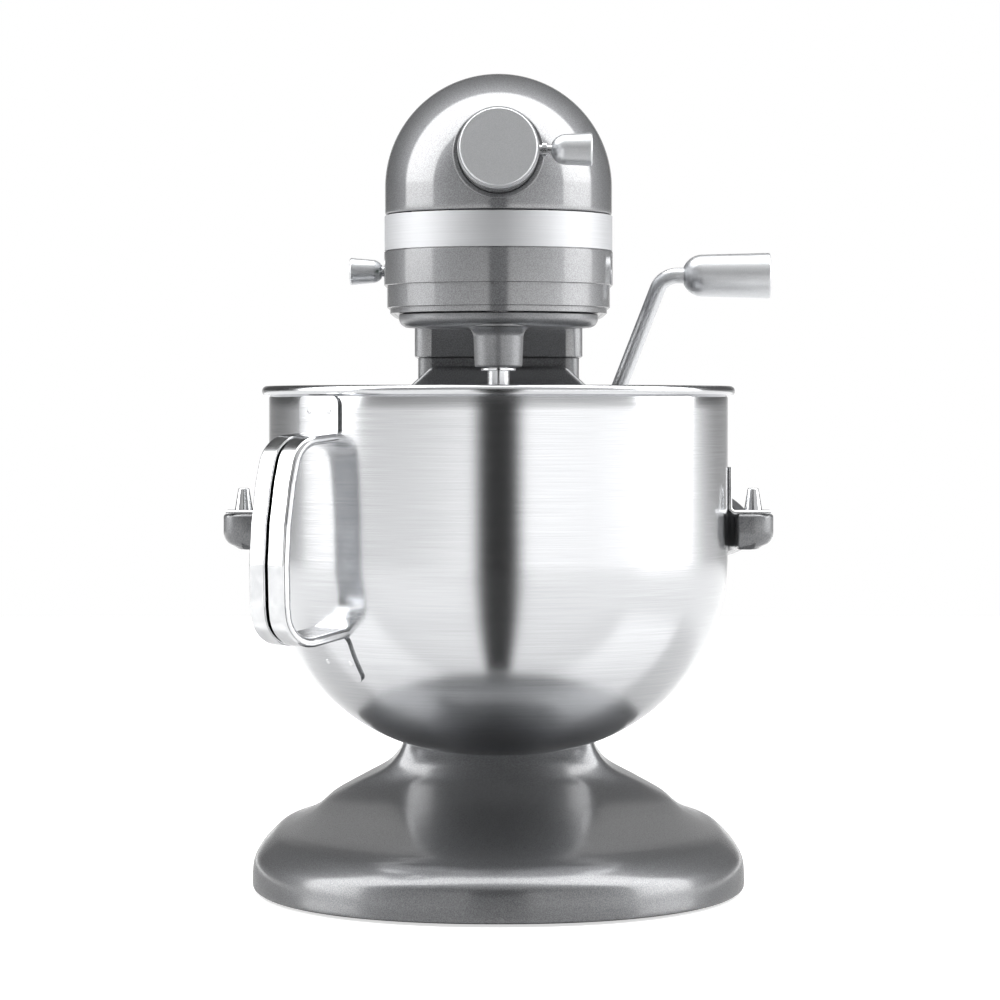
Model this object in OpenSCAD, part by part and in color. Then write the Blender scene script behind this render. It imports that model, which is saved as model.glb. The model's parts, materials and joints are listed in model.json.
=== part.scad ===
// Bowl-lift stand mixer. Millimetres, +Z up, -Y is the front.
// The origin lies on the table under the middle of the mixer; most pieces are drawn about the
// vertical planetary axis, which is also the bowl's axis, and placed by on_axis().

/* [Whole mixer] */
// Height of the head's crown above the table
crown_z = 419; // [410:1:430]
// Wall of the die-cast housings
shell_wall = 3; // [2:0.5:4]
// Gap between pieces that turn or slide past each other
running_gap = 0.3; // [0.2:0.05:0.5]
// Radial clearance of a shaft in its bush or bore
shaft_clearance = 0.05; // [0.02:0.01:0.1]
// Gap between still pieces that are fitted together
fit_gap = 0.1; // [0.05:0.05:0.2]

/* [Foot] */
// Half the width of the foot's skirt
foot_half_w = 127.5; // [120:0.5:135]
// Distance from the planetary axis to the front edge of the foot
foot_front = 142.4; // [135:0.2:150]
// Distance from the planetary axis to the rear edge of the foot
foot_rear = 229; // [225:1:240]
// Height of the foot's lower edge above the table
foot_edge_z = 1.5; // [1:0.5:3]
// Height of the seam between foot and column
foot_top_z = 98; // [94:1:104]
// Wall of the foot's skirt and roof
foot_wall = 4.5; // [3.5:0.5:6]
// Radius of a rubber foot
pad_r = 13; // [9:1:15]
// Height of a rubber foot
pad_h = 9; // [6:1:12]

/* [Column] */
// Half the width of the column
column_half_w = 44.1; // [42:0.1:45]
// Gap between the yoke's arms and the column's front wall
column_gap = 1.5; // [1.5:0.1:4]
// Depth of the column, front to back
column_depth = 80; // [76:1:84]
// Radius of the column's corners
column_corner_r = 14; // [10:1:18]
// Wall of the column
column_wall = 4; // [3:0.5:5]
// Height of the seam between column and head
column_top_z = 276; // [274:1:278]
// How far the head's collar stands proud of the column
collar_step = 1.9; // [1:0.1:3]

/* [Head] */
// Half the width of the head at the band
head_half_w = 58.7; // [57:0.1:60]
// Distance from the planetary axis to the tip of the nose
nose_length = 65; // [62:1:68]
// Distance from the planetary axis to the end of the rear cover
head_rear = 225; // [222:1:228]
// Distance from the planetary axis to the seam of the rear cover
rear_seam = 190; // [186:1:192]
// Distance behind the planetary axis where the head begins to taper
taper_start = 70; // [60:5:90]
// Half the width of the head at its rear end
rear_half_w = 47; // [44:1:50]
// Height of the head's underside
head_bottom_z = 296.5; // [296:0.5:297]
// Height of the step in the lower housing
step_z = 311; // [309:1:313]
// Depth of the step in the lower housing
step_depth = 1.5; // [0.5:0.1:2]
// Height of the band's lower edge
band_z = 328; // [327:0.5:329]
// Width of the band
band_w = 19; // [17:0.5:21]
// Thickness of the band
band_t = 1; // [0.8:0.1:1.5]
// How far the band lies below the paint on each side of it
band_recess = 0.4; // [0.2:0.1:0.6]
// Number of vent slots in the rear cover
vent_count = 7; // [5:1:8]
// Width of a vent slot
vent_w = 3.4; // [2.5:0.1:4]

/* [Attachment hub] */
// Height of the hub's axis
hub_z = 374.5; // [373:0.5:376]
// Radius of the hub's neck
hub_r = 20; // [19:0.5:20.5]
// Distance from the planetary axis to the mouth of the hub
hub_mouth = 99.5; // [97:0.5:102]
// Radius of the bore that takes an attachment
hub_bore_r = 15; // [14:0.5:16]
// Side of the square socket that drives an attachment
hub_square = 9.5; // [8:0.5:11]
// Radius of the hub's cap
cap_r = 19.6; // [18:0.2:20]
// Thickness of the hub's cap
cap_t = 12; // [10:1:14]
// Radius of the raised ring round the hub on the nose
hub_ring_r = 22.8; // [22:0.2:24]
// Distance of the thumb knob's axis from the planetary axis
thumb_y = 92; // [88:1:94]
// Radius of the thumb knob at its end
thumb_r = 8.1; // [7:0.1:9]
// Length of the thumb knob
thumb_l = 20.5; // [18:0.5:24]

/* [Speed control] */
// Distance of the speed knob behind the planetary axis
speed_y = 80; // [78:1:86]
// Height of the speed knob's axis
speed_z = 321; // [320.5:0.1:321.5]
// Travel of the speed knob towards the front
speed_travel = 40; // [36:1:42]
// Radius of the speed knob at its end
speed_r = 7.2; // [6:0.1:8]
// Length of the speed knob
speed_l = 18; // [15:0.5:20]

/* [Planetary drive] */
// Radius of the planetary dish
dish_r = 51; // [49:0.5:51.5]
// Thickness of the planetary dish
dish_t = 6.8; // [6:0.2:8]
// Distance between the planetary axis and the beater shaft
beater_offset = 32; // [30:0.5:34]
// Radius of the boss round the beater shaft
boss_r = 12; // [11:0.5:13]
// Height of the lower end of the boss
boss_bottom_z = 268.8; // [267:0.2:271]
// Radius of the beater shaft
beater_r = 5.5; // [5:0.1:6]
// Height of the beater shaft's lower end
beater_bottom_z = 225; // [222:1:230]
// Height of the cross pin of the beater shaft
beater_pin_z = 233; // [231:1:236]
// Length of the cross pin
beater_pin_l = 19; // [16:0.5:22]
// Teeth of the fixed ring gear
ring_teeth = 56; // [56:1:56]
// Teeth of the planet pinion
planet_teeth = 16; // [16:1:16]
// Radius of the planetary shaft
shaft_r = 7; // [6:0.5:8]
// Module of the centre gear and its pinion
spur_module = 1.5; // [1.5:0.1:1.5]
// Teeth of the centre gear
centre_teeth = 48; // [48:1:48]
// Teeth of the pinion that drives the centre gear
pinion_teeth = 20; // [20:1:20]
// Module of the two bevel gears
bevel_module = 2; // [1.9:0.1:2]
// Teeth of each bevel gear
bevel_teeth = 20; // [18:1:20]
// Face width of the gears
gear_w = 8; // [6:1:9]

/* [Motor] */
// Teeth of the worm wheel
wheel_teeth = 24; // [24:1:24]
// Module of the worm and its wheel
worm_module = 2; // [2:0.1:2]
// Threads of the worm
worm_starts = 3; // [3:1:3]
// Pitch radius of the worm
worm_r = 8.5; // [8:0.1:9]
// Length of the worm
worm_l = 36; // [32:1:38]
// Radius of the armature's core
armature_r = 19; // [17:0.5:20]
// Length of the armature's core
armature_l = 56; // [48:1:58]
// Radius of the motor's stator
stator_r = 32; // [30:0.5:33]
// Radius of the motor's shaft
motor_shaft_r = 4; // [3.5:0.5:5]

/* [Bowl] */
// Outer radius of the bowl's straight wall
bowl_r = 117.4; // [115:0.2:118]
// Height of the bowl's flat bottom, bowl raised
bowl_bottom_z = 71.6; // [70:0.2:74]
// Height of the top of the bowl's rim, bowl raised
bowl_top_z = 259.5; // [256:0.5:260]
// Wall of the bowl
bowl_wall = 1.2; // [0.8:0.1:2]
// Radius of the rolled rim's bead
rim_bead_r = 2.6; // [2:0.1:3]
// Radius of the round part of the bowl in section
bowl_arc_r = 101.4; // [99:0.2:103]
// Direction of the handle, turned from the front towards the left
handle_turn = 48.8; // [40:0.2:60]
// Reach of the handle from the bowl's axis
handle_reach = 151; // [148:0.5:156]
// Width of the handle's folded strap
handle_w = 28.6; // [25:0.2:32]
// Depth of the handle's folded strap
handle_t = 4.8; // [4.4:0.1:6]
// Sheet that the handle is folded from
handle_sheet = 1.2; // [1:0.1:1.4]
// Radius of the handle's outward bow
handle_bow_r = 240; // [200:5:400]
// Height where the handle stands out furthest
handle_bow_z = 167; // [160:1:182]
// Gap between the folded edges of the strap
handle_slot = 3; // [2:0.2:5]
// Height of the top of the handle's upper run
handle_top_z = 236; // [230:0.5:238]
// Height of the bottom of the handle's lower run
handle_bottom_z = 128.5; // [122:0.5:132]

/* [Yoke] */
// Gap between the bowl and the arms that reach round it
arm_gap = 5.1; // [4.6:0.1:6.6]
// Thickness of the arms
arm_t = 9; // [7:0.5:11]
// Distance of a locating pin outside the arm's inner face
pin_reach = 8.1; // [7.5:0.1:8.5]
// Height of the knuckles' flat top
knuckle_top_z = 194; // [190:0.5:198]
// How far the knuckles reach past the middle of the locating pins
knuckle_reach = 10.4; // [9.4:0.2:11]
// Radius of a locating pin at its base
pin_r = 4.7; // [4:0.1:5.5]
// Height of the locating pins
pin_h = 13.2; // [11:0.2:15]
// Height of the top of the yoke's centre plate
yoke_top_z = 271; // [268:0.5:272]
// Half the width of the yoke's centre plate
yoke_half_w = 49.6; // [48:0.2:52]
// Travel of the bowl, lowered from its raised place
lift_travel = 30; // [28:0.5:31]

/* [Lift lever] */
// Distance of the lever's shaft behind the column's front wall
lever_back = 20; // [19.5:0.5:21]
// Height of the lever's shaft
lever_z = 215; // [212:1:218]
// Lean of the raised lever towards the front
lever_lean = 27; // [20:1:32]
// Flare of the lever's rod away from the column
lever_flare = 18.5; // [18:0.5:22]
// Radius of the lever's rod
rod_r = 4.2; // [3.5:0.1:4.5]
// Height of the grip's axis above the shaft, lever raised
grip_rise = 104.5; // [100:0.5:110]
// Outer end of the grip
grip_x = 146; // [142:0.5:146.5]
// Length of the grip
grip_l = 47.5; // [42:0.5:50]
// Radius of the grip at its outer end
grip_r = 12.2; // [11:0.1:13]
// Angle that the lever turns through to lower the bowl
lever_swing = 110; // [110:1:110]
// Radius of the roller on the crank
roller_r = 5; // [4:0.5:6]

/* [Hidden] */
$fn = 64;
small = 32;

bowl_axis_y = (foot_front - foot_rear) / 2;
arm_r = bowl_r + arm_gap;
pin_x = arm_r + pin_reach;
knuckle_x = pin_x + knuckle_reach;
column_front = arm_r + arm_t + column_gap;
lever_y = column_front + lever_back;
band_top_z = band_z + band_w;

module on_axis() {
    translate([0, bowl_axis_y, 0]) children();
}

// A length along the Y axis, from y0 to y1, on the line through x and z
module along_y(x, z, y0, y1, r, r2 = undef) {
    translate([x, y0, z]) rotate([-90, 0, 0])
        cylinder(h = y1 - y0, r1 = r, r2 = is_undef(r2) ? r : r2);
}

module along_x(y, z, x0, x1, r, r2 = undef) {
    translate([x0, y, z]) rotate([0, 90, 0])
        cylinder(h = x1 - x0, r1 = r, r2 = is_undef(r2) ? r : r2);
}

module along_z(x, y, z0, z1, r, r2 = undef) {
    translate([x, y, z0]) cylinder(h = z1 - z0, r1 = r, r2 = is_undef(r2) ? r : r2);
}

// A box from one corner to the other
module box(low, high) {
    translate(low) cube(high - low);
}

module both_sides() {
    children();
    mirror([1, 0, 0]) children();
}

// A rectangle with true round corners
module round_rect(low, high, r) {
    translate([low[0] + r, low[1]]) square([high[0] - low[0] - 2 * r, high[1] - low[1]]);
    translate([low[0], low[1] + r]) square([high[0] - low[0], high[1] - low[1] - 2 * r]);
    for (x = [low[0] + r, high[0] - r])
        for (y = [low[1] + r, high[1] - r])
            translate([x, y]) circle(r);
}

// ---------------------------------------------------------------- foot

// Stations of the foot from the table up: height, half width, front, widest place, rear, and
// how square the front and the rear of the outline are (2 is an ellipse).
foot_stations = [
    [foot_edge_z, foot_half_w - 1.2, -foot_front + 1.2, 30, foot_rear - 1.2, 2, 3],
    [foot_edge_z + 2, foot_half_w, -foot_front, 30, foot_rear, 2, 3],
    [14, foot_half_w - 0.5, -foot_front + 0.4, 32, foot_rear, 2, 3],
    [20, foot_half_w - 3, -foot_front + 3.4, 36, foot_rear - 1, 2, 3],
    [26.5, foot_half_w - 8.5, -foot_front + 14, 46, foot_rear - 2.5, 2, 3],
    [30.5, foot_half_w - 14, -foot_front + 40, 60, foot_rear - 4, 2, 3],
    [33.5, foot_half_w - 19, -48, 78, foot_rear - 5, 2, 3],
    [36, foot_half_w - 23, 5, 92, foot_rear - 5.5, 2, 3],
    [39, foot_half_w - 27.5, 45, 104, foot_rear - 6, 2.1, 3.1],
    [44, foot_half_w - 38, 76, 120, foot_rear - 7, 2.3, 3.3],
    [51, foot_half_w - 57, 98, 137, foot_rear - 8, 2.6, 3.6],
    [58, column_half_w + 17, 111, 150, foot_rear - 10, 3, 4],
    [66, column_half_w + 10, 120, 160, foot_rear - 12, 3.5, 4.5],
    [80, column_half_w + 4, 129, 169, foot_rear - 14, 4.5, 5],
    [foot_top_z, column_half_w, column_front, column_front + column_depth / 2,
        column_front + column_depth, 6, 6]
];
foot_facets = 44;

function signed_power(v, n) = sign(v) * pow(abs(v), 2 / n);

function foot_ring(s) = [
    for (i = [0 : foot_facets - 1])
        let (a = 360 * i / foot_facets, back = sin(a) > 0)
        [
            s[1] * signed_power(cos(a), back ? s[6] : s[5]),
            s[3] + (back ? s[4] - s[3] : s[3] - s[2]) * signed_power(sin(a), back ? s[6] : s[5]),
            s[0]
        ]
];

// The same station moved in by the wall and, on the roof, down by it
function foot_inner(s) = [
    s[0] - (s[0] > 10 ? foot_wall : 0), s[1] - foot_wall, s[2] + foot_wall, s[3],
    s[4] - foot_wall, s[5], s[6]
];

// A station half way through the wall
function foot_middle(s) = [
    s[0] - (s[0] > 10 ? foot_wall / 2 : 0), s[1] - foot_wall / 2, s[2] + foot_wall / 2, s[3],
    s[4] - foot_wall / 2, s[5], s[6]
];

// Outer rings from the bottom up, then inner rings from the top down, closed at both tops
module foot_shell(outer, inner) {
    n = foot_facets;
    k = len(outer);
    m = len(inner);
    rings = concat(outer, [for (i = [m - 1 : -1 : 0]) inner[i]]);
    points = [for (ring = rings) for (p = ring) p];
    wall_of = function (a, b) [
        for (i = [0 : n - 1])
            let (j = (i + 1) % n)
            each [[a * n + i, b * n + i, b * n + j], [a * n + i, b * n + j, a * n + j]]
    ];
    walls = [
        for (r = [0 : k + m - 1])
            if (r != k - 1) each wall_of(r, (r + 1) % (k + m))
    ];
    top = [for (i = [n - 1 : -1 : 0]) (k - 1) * n + i];
    ceiling = [for (i = [0 : n - 1]) k * n + i];
    polyhedron(points, concat(walls, [top, ceiling]));
}

// A closed loft through rings from the bottom up
module foot_solid(rings) {
    n = foot_facets;
    k = len(rings);
    walls = [
        for (r = [0 : k - 2]) for (i = [0 : n - 1])
            let (a = r * n + i, b = r * n + (i + 1) % n)
            each [[a, a + n, b + n], [a, b + n, b]]
    ];
    floor = [for (i = [0 : n - 1]) i];
    top = [for (i = [n - 1 : -1 : 0]) (k - 1) * n + i];
    polyhedron([for (ring = rings) for (p = ring) p], concat(walls, [floor, top]));
}

foot_pads = [[0, -110], [-78, -62], [78, -62], [-78, 178], [78, 178]];
column_screw_x = column_half_w - 16;
column_screw_y = [column_front + 16, column_front + column_depth - 16];

module base_foot() color("DimGray") on_axis() {
    difference() {
        union() {
            foot_shell(
                [for (s = foot_stations) foot_ring(s)],
                [for (i = [0, 2, 3, 4, 6, 8, 9, 10, 11, 12, 13, 14])
                    foot_ring(foot_inner(foot_stations[i]))]
            );
            // bosses that carry the rubber feet, up to the roof
            intersection() {
                for (p = foot_pads)
                    along_z(p[0], p[1], pad_h, 60, pad_r + 2);
                foot_solid([for (i = [0, 2, 4, 6, 7, 8, 9, 10, 11])
                    foot_ring(foot_middle(foot_stations[i]))]);
            }
        }
        for (x = [-column_screw_x, column_screw_x])
            for (y = column_screw_y)
                along_z(x, y, foot_top_z - foot_wall - 2, foot_top_z + 1, 2.7);
    }
}

module rubber_feet() color("#2a2a2a") on_axis() {
    for (p = foot_pads) {
        along_z(p[0], p[1], 0, 1.5, pad_r - 1, pad_r);
        along_z(p[0], p[1], 1.5, pad_h, pad_r);
    }
}

// ---------------------------------------------------------------- column

module column_outline(inset) {
    round_rect(
        [-column_half_w + inset, column_front + inset],
        [column_half_w - inset, column_front + column_depth - inset],
        column_corner_r - inset
    );
}

// Two slots in the front wall take the lugs of the yoke
lug_x = 20;
lug_half_w = 4;
lug_z = [205, 236];
slot_gap = 1;
slide_screw_z = 224;

module column_slots() {
    for (side = [-1, 1])
        box(
            [side * lug_x - lug_half_w - slot_gap, column_front - 1,
                lug_z[0] - lift_travel - slot_gap],
            [side * lug_x + lug_half_w + slot_gap, column_front + column_wall + 1,
                lug_z[1] + slot_gap]
        );
}

bush_r = 8.5;

module column() color("DimGray") on_axis() {
    difference() {
        union() {
            difference() {
                translate([0, 0, foot_top_z]) linear_extrude(column_top_z - foot_top_z)
                    column_outline(0);
                translate([0, 0, foot_top_z - 1]) linear_extrude(column_top_z - foot_top_z + 2)
                    column_outline(column_wall);
            }
            // pillars in the corners take the screws from the foot and from the head
            for (x = [-column_screw_x, column_screw_x])
                for (y = column_screw_y) {
                    along_z(x, y, foot_top_z, foot_top_z + 22, 6);
                    along_z(x, y, column_top_z - 18, column_top_z, 6);
                    box([min(x, sign(x) * (column_half_w - 2)), y - 2, foot_top_z],
                        [max(x, sign(x) * (column_half_w - 2)), y + 2, foot_top_z + 22]);
                    box([min(x, sign(x) * (column_half_w - 2)), y - 2, column_top_z - 18],
                        [max(x, sign(x) * (column_half_w - 2)), y + 2, column_top_z]);
                }
        }
        column_slots();
        along_x(lever_y, lever_z, column_half_w - column_wall - 1, column_half_w + 1,
            bush_r + fit_gap);
        for (x = [-column_screw_x, column_screw_x])
            for (y = column_screw_y) {
                along_z(x, y, foot_top_z - 1, foot_top_z + 16, 2.6);
                along_z(x, y, column_top_z - 12, column_top_z + 1, 2.6);
            }
        height_screw_hole();
    }
}

module screw(x, y, z_head, z_tip, r, head_r, head_h) {
    dir = sign(z_tip - z_head);
    along_z(x, y, min(z_head, z_tip), max(z_head, z_tip), r);
    along_z(x, y, min(z_head, z_head - dir * head_h), max(z_head, z_head - dir * head_h), head_r);
}

module column_screws() color("Silver") on_axis() {
    for (x = [-column_screw_x, column_screw_x])
        for (y = column_screw_y)
            screw(x, y, foot_top_z - foot_wall, foot_top_z + 14, 2.5, 4.5, 3.5);
}

// ---------------------------------------------------------------- head

// Half the width of the head at a distance y behind the planetary axis
function head_w(y) =
    y < 0 ? head_half_w * sqrt(max(0, 1 - pow(y / nose_length, 2)))
    : y < taper_start ? head_half_w
    : y < rear_seam ? head_half_w - (head_half_w - rear_half_w)
        * 0.5 * (1 - cos(90 * (y - taper_start) / (rear_seam - taper_start)))
    : let (w = head_half_w - (head_half_w - rear_half_w) * 0.5, t = (y - rear_seam)
        / (head_rear - rear_seam))
        w * pow(max(0, 1 - pow(t, 3.2)), 1 / 2.6);

nose_steps = 14;
function nose_y(i) = -nose_length * cos(90 * i / nose_steps);
nose_places = [for (i = [1 : nose_steps - 1]) nose_y(i)];
body_places = [0, taper_start, 100, 130, 160, rear_seam];
cover_places = [for (t = [0, 0.25, 0.5, 0.7, 0.84, 0.93, 0.98])
    rear_seam + t * (head_rear - rear_seam)];

// Half outlines as [half width, y], moved in by a wall
function wall_in(list, inset) = [for (y = list) [max(0.5, head_w(y) - inset), y]];

// Half the outline of the head in plan, from the nose back to the seam of the rear cover
function half_plan(inset, past) =
    let (half = wall_in(concat(nose_places, body_places), inset),
        kept = [for (p = half) if (p[1] > -nose_length + inset + 0.5) p],
        end = kept[len(kept) - 1])
    concat([[0, -nose_length + inset]], kept, past > 0 ? [[end[0], end[1] + past]] : []);

module head_plan(inset, past = 0) {
    half = half_plan(inset, past);
    polygon(concat(half, [for (i = [len(half) - 1 : -1 : 1]) [-half[i][0], half[i][1]]]));
}

arch_inset = 0.7;
arch_r = head_half_w - arch_inset;
arch_z = crown_z - arch_r;

// The arch of the head: half a body of revolution about a level axis
module head_arch(inset, past) {
    half = half_plan(inset, past);
    translate([0, 0, arch_z]) rotate([90, 0, 0]) mirror([0, 0, 1])
        rotate_extrude(angle = 180, $fn = 96)
            polygon(concat(half, [[0, half[len(half) - 1][1]]]));
}

// The upper part of the head, past the seam of the rear cover by a length
module head_body(inset, past) {
    head_arch(inset + arch_inset, past);
    translate([0, 0, band_top_z]) linear_extrude(arch_z - band_top_z)
        head_plan(inset + arch_inset, past);
}

module hub_ring() {
    along_y(0, hub_z, -nose_length - 3, -nose_length + 25, hub_ring_r);
}

module head_upper_housing() color("Gray") on_axis() {
    difference() {
        union() {
            head_body(0, 0);
            intersection() {
                hub_ring();
                translate([0, 0, arch_z]) cube([200, 2 * nose_length + 20, 200], center = true);
            }
        }
        translate([0, 0, -0.5]) head_body(shell_wall, 1);
        along_y(0, hub_z, -nose_length - 10, 0, hub_r + fit_gap);
    }
}

module head_lower_housing() color("Gray") on_axis() {
    difference() {
        union() {
            translate([0, 0, step_z]) linear_extrude(band_z - step_z) head_plan(0.2);
            translate([0, 0, head_bottom_z + 3]) linear_extrude(step_z - head_bottom_z - 3)
                head_plan(0.2 + step_depth);
            translate([0, 0, head_bottom_z]) linear_extrude(3) head_plan(0.2 + 2 * step_depth);
            // collar over the head of the column
            translate([0, 0, column_top_z]) linear_extrude(head_bottom_z - column_top_z)
                column_outline(-collar_step);
            // tongue behind the band
            translate([0, 0, band_z]) linear_extrude(band_w) head_plan(band_recess + band_t
                + fit_gap);
        }
        // the hollow of the housing
        translate([0, 0, head_bottom_z + 3]) linear_extrude(60) head_plan(shell_wall + 2, 1);
        // the mouth over the planetary
        along_z(0, 0, head_bottom_z - 1, head_bottom_z + 4, dish_r + 0.4);
        // the hollow of the collar
        translate([0, 0, column_top_z + 4]) linear_extrude(40)
            column_outline(column_wall - collar_step);
        for (x = [-column_screw_x, column_screw_x])
            for (y = column_screw_y)
                along_z(x, y, column_top_z - 1, column_top_z + 5, 2.7);
        along_z(0, column_front + column_depth / 2, column_top_z - 1, column_top_z + 5, 20);
        speed_slot();
        along_y(0, head_bottom_z + 14, rear_seam - 6, rear_seam + 1, 2.2);
    }
    // saddles under the motor
    difference() {
        for (y = [96, 138])
            box([motor_x - 24, y, head_bottom_z + 3], [motor_x + 24, y + 5, motor_z - 20]);
        along_y(motor_x, motor_z, 90, 150, stator_r + fit_gap);
    }
}

module trim_band() color("#c4c4c4") on_axis() {
    difference() {
        translate([0, 0, band_z + fit_gap]) linear_extrude(band_w - 2 * fit_gap)
            head_plan(band_recess);
        translate([0, 0, band_z - 1]) linear_extrude(band_w + 2)
            head_plan(band_recess + band_t, 1);
    }
}

module cover_body(inset) {
    n = len(cover_places) - 1;
    end = head_rear - inset;
    half = [for (y = cover_places) [max(2, head_w(y) - inset), min(y, end)]];
    arch = concat([[0, rear_seam]], half, [[0, half[n][1]]]);
    translate([0, 0, arch_z]) rotate([90, 0, 0]) mirror([0, 0, 1])
        rotate_extrude(angle = 180, $fn = 96) polygon(arch);
    low = head_bottom_z + fit_gap + (inset > arch_inset ? inset : 0);
    translate([0, 0, low]) linear_extrude(arch_z - low)
        polygon(concat(half, [for (i = [n : -1 : 0]) [-half[i][0], half[i][1]]]));
}

module rear_cover() color("Gray") on_axis() {
    translate([0, fit_gap, 0]) difference() {
        cover_body(arch_inset);
        translate([0, -0.5, 0]) cover_body(arch_inset + shell_wall);
        // vents low on the rear face
        for (i = [0 : vent_count - 1]) {
            x = (i - (vent_count - 1) / 2) * 2 * vent_w;
            box([x - vent_w / 2, head_rear - 12, head_bottom_z + 18],
                [x + vent_w / 2, head_rear + 5, head_bottom_z + 44]);
        }
        along_y(0, arch_z + 8, head_rear - 12, head_rear + 5, 2.3);
        along_y(0, gland_z, head_rear - 12, head_rear + 5, gland_r + fit_gap);
    }
}

// One long screw holds the rear cover to the motor's end bracket
module rear_cover_screw() color("Silver") on_axis() {
    along_y(0, arch_z + 8, bracket_y + 1, head_rear + fit_gap, 2);
    along_y(0, arch_z + 8, head_rear + fit_gap, head_rear + fit_gap + 2.4, 4);
}

module head_screws() color("Silver") on_axis() {
    for (x = [-column_screw_x, column_screw_x])
        for (y = column_screw_y)
            screw(x, y, column_top_z + 4, column_top_z - 10, 2.5, 4.5, 3.5);
}

gland_r = 5;
gland_z = head_bottom_z + 9;

// The gland that a cord would leave by, low on the rear cover
module cord_gland() color("#2a2a2a") on_axis() {
    difference() {
        union() {
            along_y(0, gland_z, head_rear - 8, head_rear + 3.6, gland_r);
            along_y(0, gland_z, head_rear + fit_gap, head_rear + 1.6, gland_r + 2);
        }
        along_y(0, gland_z, head_rear - 9, head_rear + 4, 3.2);
    }
}

// ---------------------------------------------------------------- attachment hub

module hub_sleeve() color("Gray") on_axis() {
    difference() {
        union() {
            along_y(0, hub_z, -hub_mouth, -wall_y, hub_r);
            along_y(0, hub_z, -hub_mouth - 0.01, -hub_mouth + 4, hub_r + 0.01);
        }
        along_y(0, hub_z, -hub_mouth - 1, -socket_mouth + 2, hub_bore_r);
        along_y(0, hub_z, -socket_mouth, -wall_y + 1, socket_r + shaft_clearance);
        along_x(-thumb_y, hub_z, hub_bore_r - 4, hub_r + 3, stem_r + shaft_clearance);
    }
}

module hub_cap() color("Silver") on_axis() {
    along_y(0, hub_z, -hub_mouth - running_gap - cap_t, -hub_mouth - running_gap - 1.2, cap_r);
    along_y(0, hub_z, -hub_mouth - running_gap - cap_t - 0.8,
        -hub_mouth - running_gap - cap_t, cap_r - 0.8, cap_r);
    along_y(0, hub_z, -hub_mouth - running_gap - 1.2, -hub_mouth - running_gap,
        cap_r, cap_r - 1.2);
    along_y(0, hub_z, -hub_mouth - running_gap - 1.2, -hub_mouth + 4, hub_bore_r - 0.3);
}

stem_r = 2.4;
collar_x = [hub_r + running_gap + 1, hub_r + 3.7];
thumb_x = hub_r + 5.4;

module hub_thumb_stem() color("Silver") on_axis() {
    along_x(-thumb_y, hub_z, hub_bore_r + 0.5, thumb_x + 6, stem_r);
    along_x(-thumb_y, hub_z, collar_x[0], collar_x[1], 3.6);
}

// A knob with a rounded inner end and a flat outer end, along +X from x0
module knob(x0, length, r_in, r_out, hole_r, hole_l) {
    translate([x0, 0, 0]) rotate([0, 90, 0]) rotate_extrude() difference() {
        union() {
            intersection() {
                translate([0, r_in]) circle(r_in);
                square([r_in, r_in]);
            }
            polygon([[0, r_in * 0.9], [r_in, r_in], [r_out, length - 0.8],
                [r_out - 0.8, length], [0, length]]);
        }
        square([hole_r, hole_l]);
    }
}

module hub_thumb_knob() color("Silver") on_axis() {
    translate([0, -thumb_y, hub_z])
        knob(thumb_x, thumb_l, thumb_r - 0.6, thumb_r, stem_r, 6);
}

socket_r = 11;
socket_mouth = 66;
wall_y = 38;

// ---------------------------------------------------------------- speed control

speed_stem_r = 3;
slot_half_h = speed_stem_r + 0.8;
module speed_slot() {
    box([-80, speed_y - speed_travel - speed_stem_r - 1, speed_z - slot_half_h],
        [-30, speed_y + speed_stem_r + 1, speed_z + slot_half_h]);
}

speed_x = head_half_w + 2.5;

module speed_knob() color("Silver") on_axis() {
    translate([0, speed_y, speed_z]) mirror([1, 0, 0])
        knob(speed_x, speed_l, speed_r - 1, speed_r, speed_stem_r, 8);
}

slide_x = head_half_w - shell_wall - 5;

module speed_slide() color("Silver") on_axis() {
    along_x(speed_y, speed_z, -speed_x - 8, -slide_x + 2, speed_stem_r);
    box([-slide_x, speed_y - 9, speed_z - 7], [-slide_x + 2, speed_y + 9, speed_z + 7]);
}

module control_board() color("DarkGreen") on_axis() {
    board_x = slide_x - 2 - running_gap;
    board_margin = 14;
    box([-board_x, speed_y - speed_travel - board_margin, speed_z - board_margin - 2],
        [-board_x + 1.6, speed_y + board_margin + 2, speed_z + board_margin - 4]);
    // two posts carry the board from the floor of the housing
    for (y = [speed_y - speed_travel - 4, speed_y + 8])
        box([-board_x + 1.6, y, head_bottom_z + 3], [-board_x + 6, y + 5, speed_z]);
    box([-board_x + 1.6, speed_y - 20, speed_z - 8],
        [-board_x + 8, speed_y - 4, speed_z + 4]);
}

// ---------------------------------------------------------------- gears

function involute(a) = tan(a) * 180 / PI - a;
pressure = 20;

// Half the angle of a tooth at radius r, less half the backlash
function tooth_half(r, m, n, slack) =
    let (base = m * n / 2 * cos(pressure), a = acos(min(1, base / max(r, base))))
    90 / n * (1 - slack) + involute(pressure) - involute(a);

// The outline of a spur gear with a tooth on the +X axis
module gear_outline(m, n, slack, tip = 1, root = 1.25) {
    p = m * n / 2;
    radii = [p - root * m, p - 0.4 * m, p + 0.3 * m, p + tip * m];
    polygon([
        for (t = [0 : n - 1])
            each concat(
                [for (r = radii)
                    let (a = 360 * t / n - tooth_half(r, m, n, slack)) r * [cos(a), sin(a)]],
                [for (i = [3 : -1 : 0])
                    let (r = radii[i], a = 360 * t / n + tooth_half(r, m, n, slack))
                    r * [cos(a), sin(a)]]
            )
    ]);
}

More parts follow.
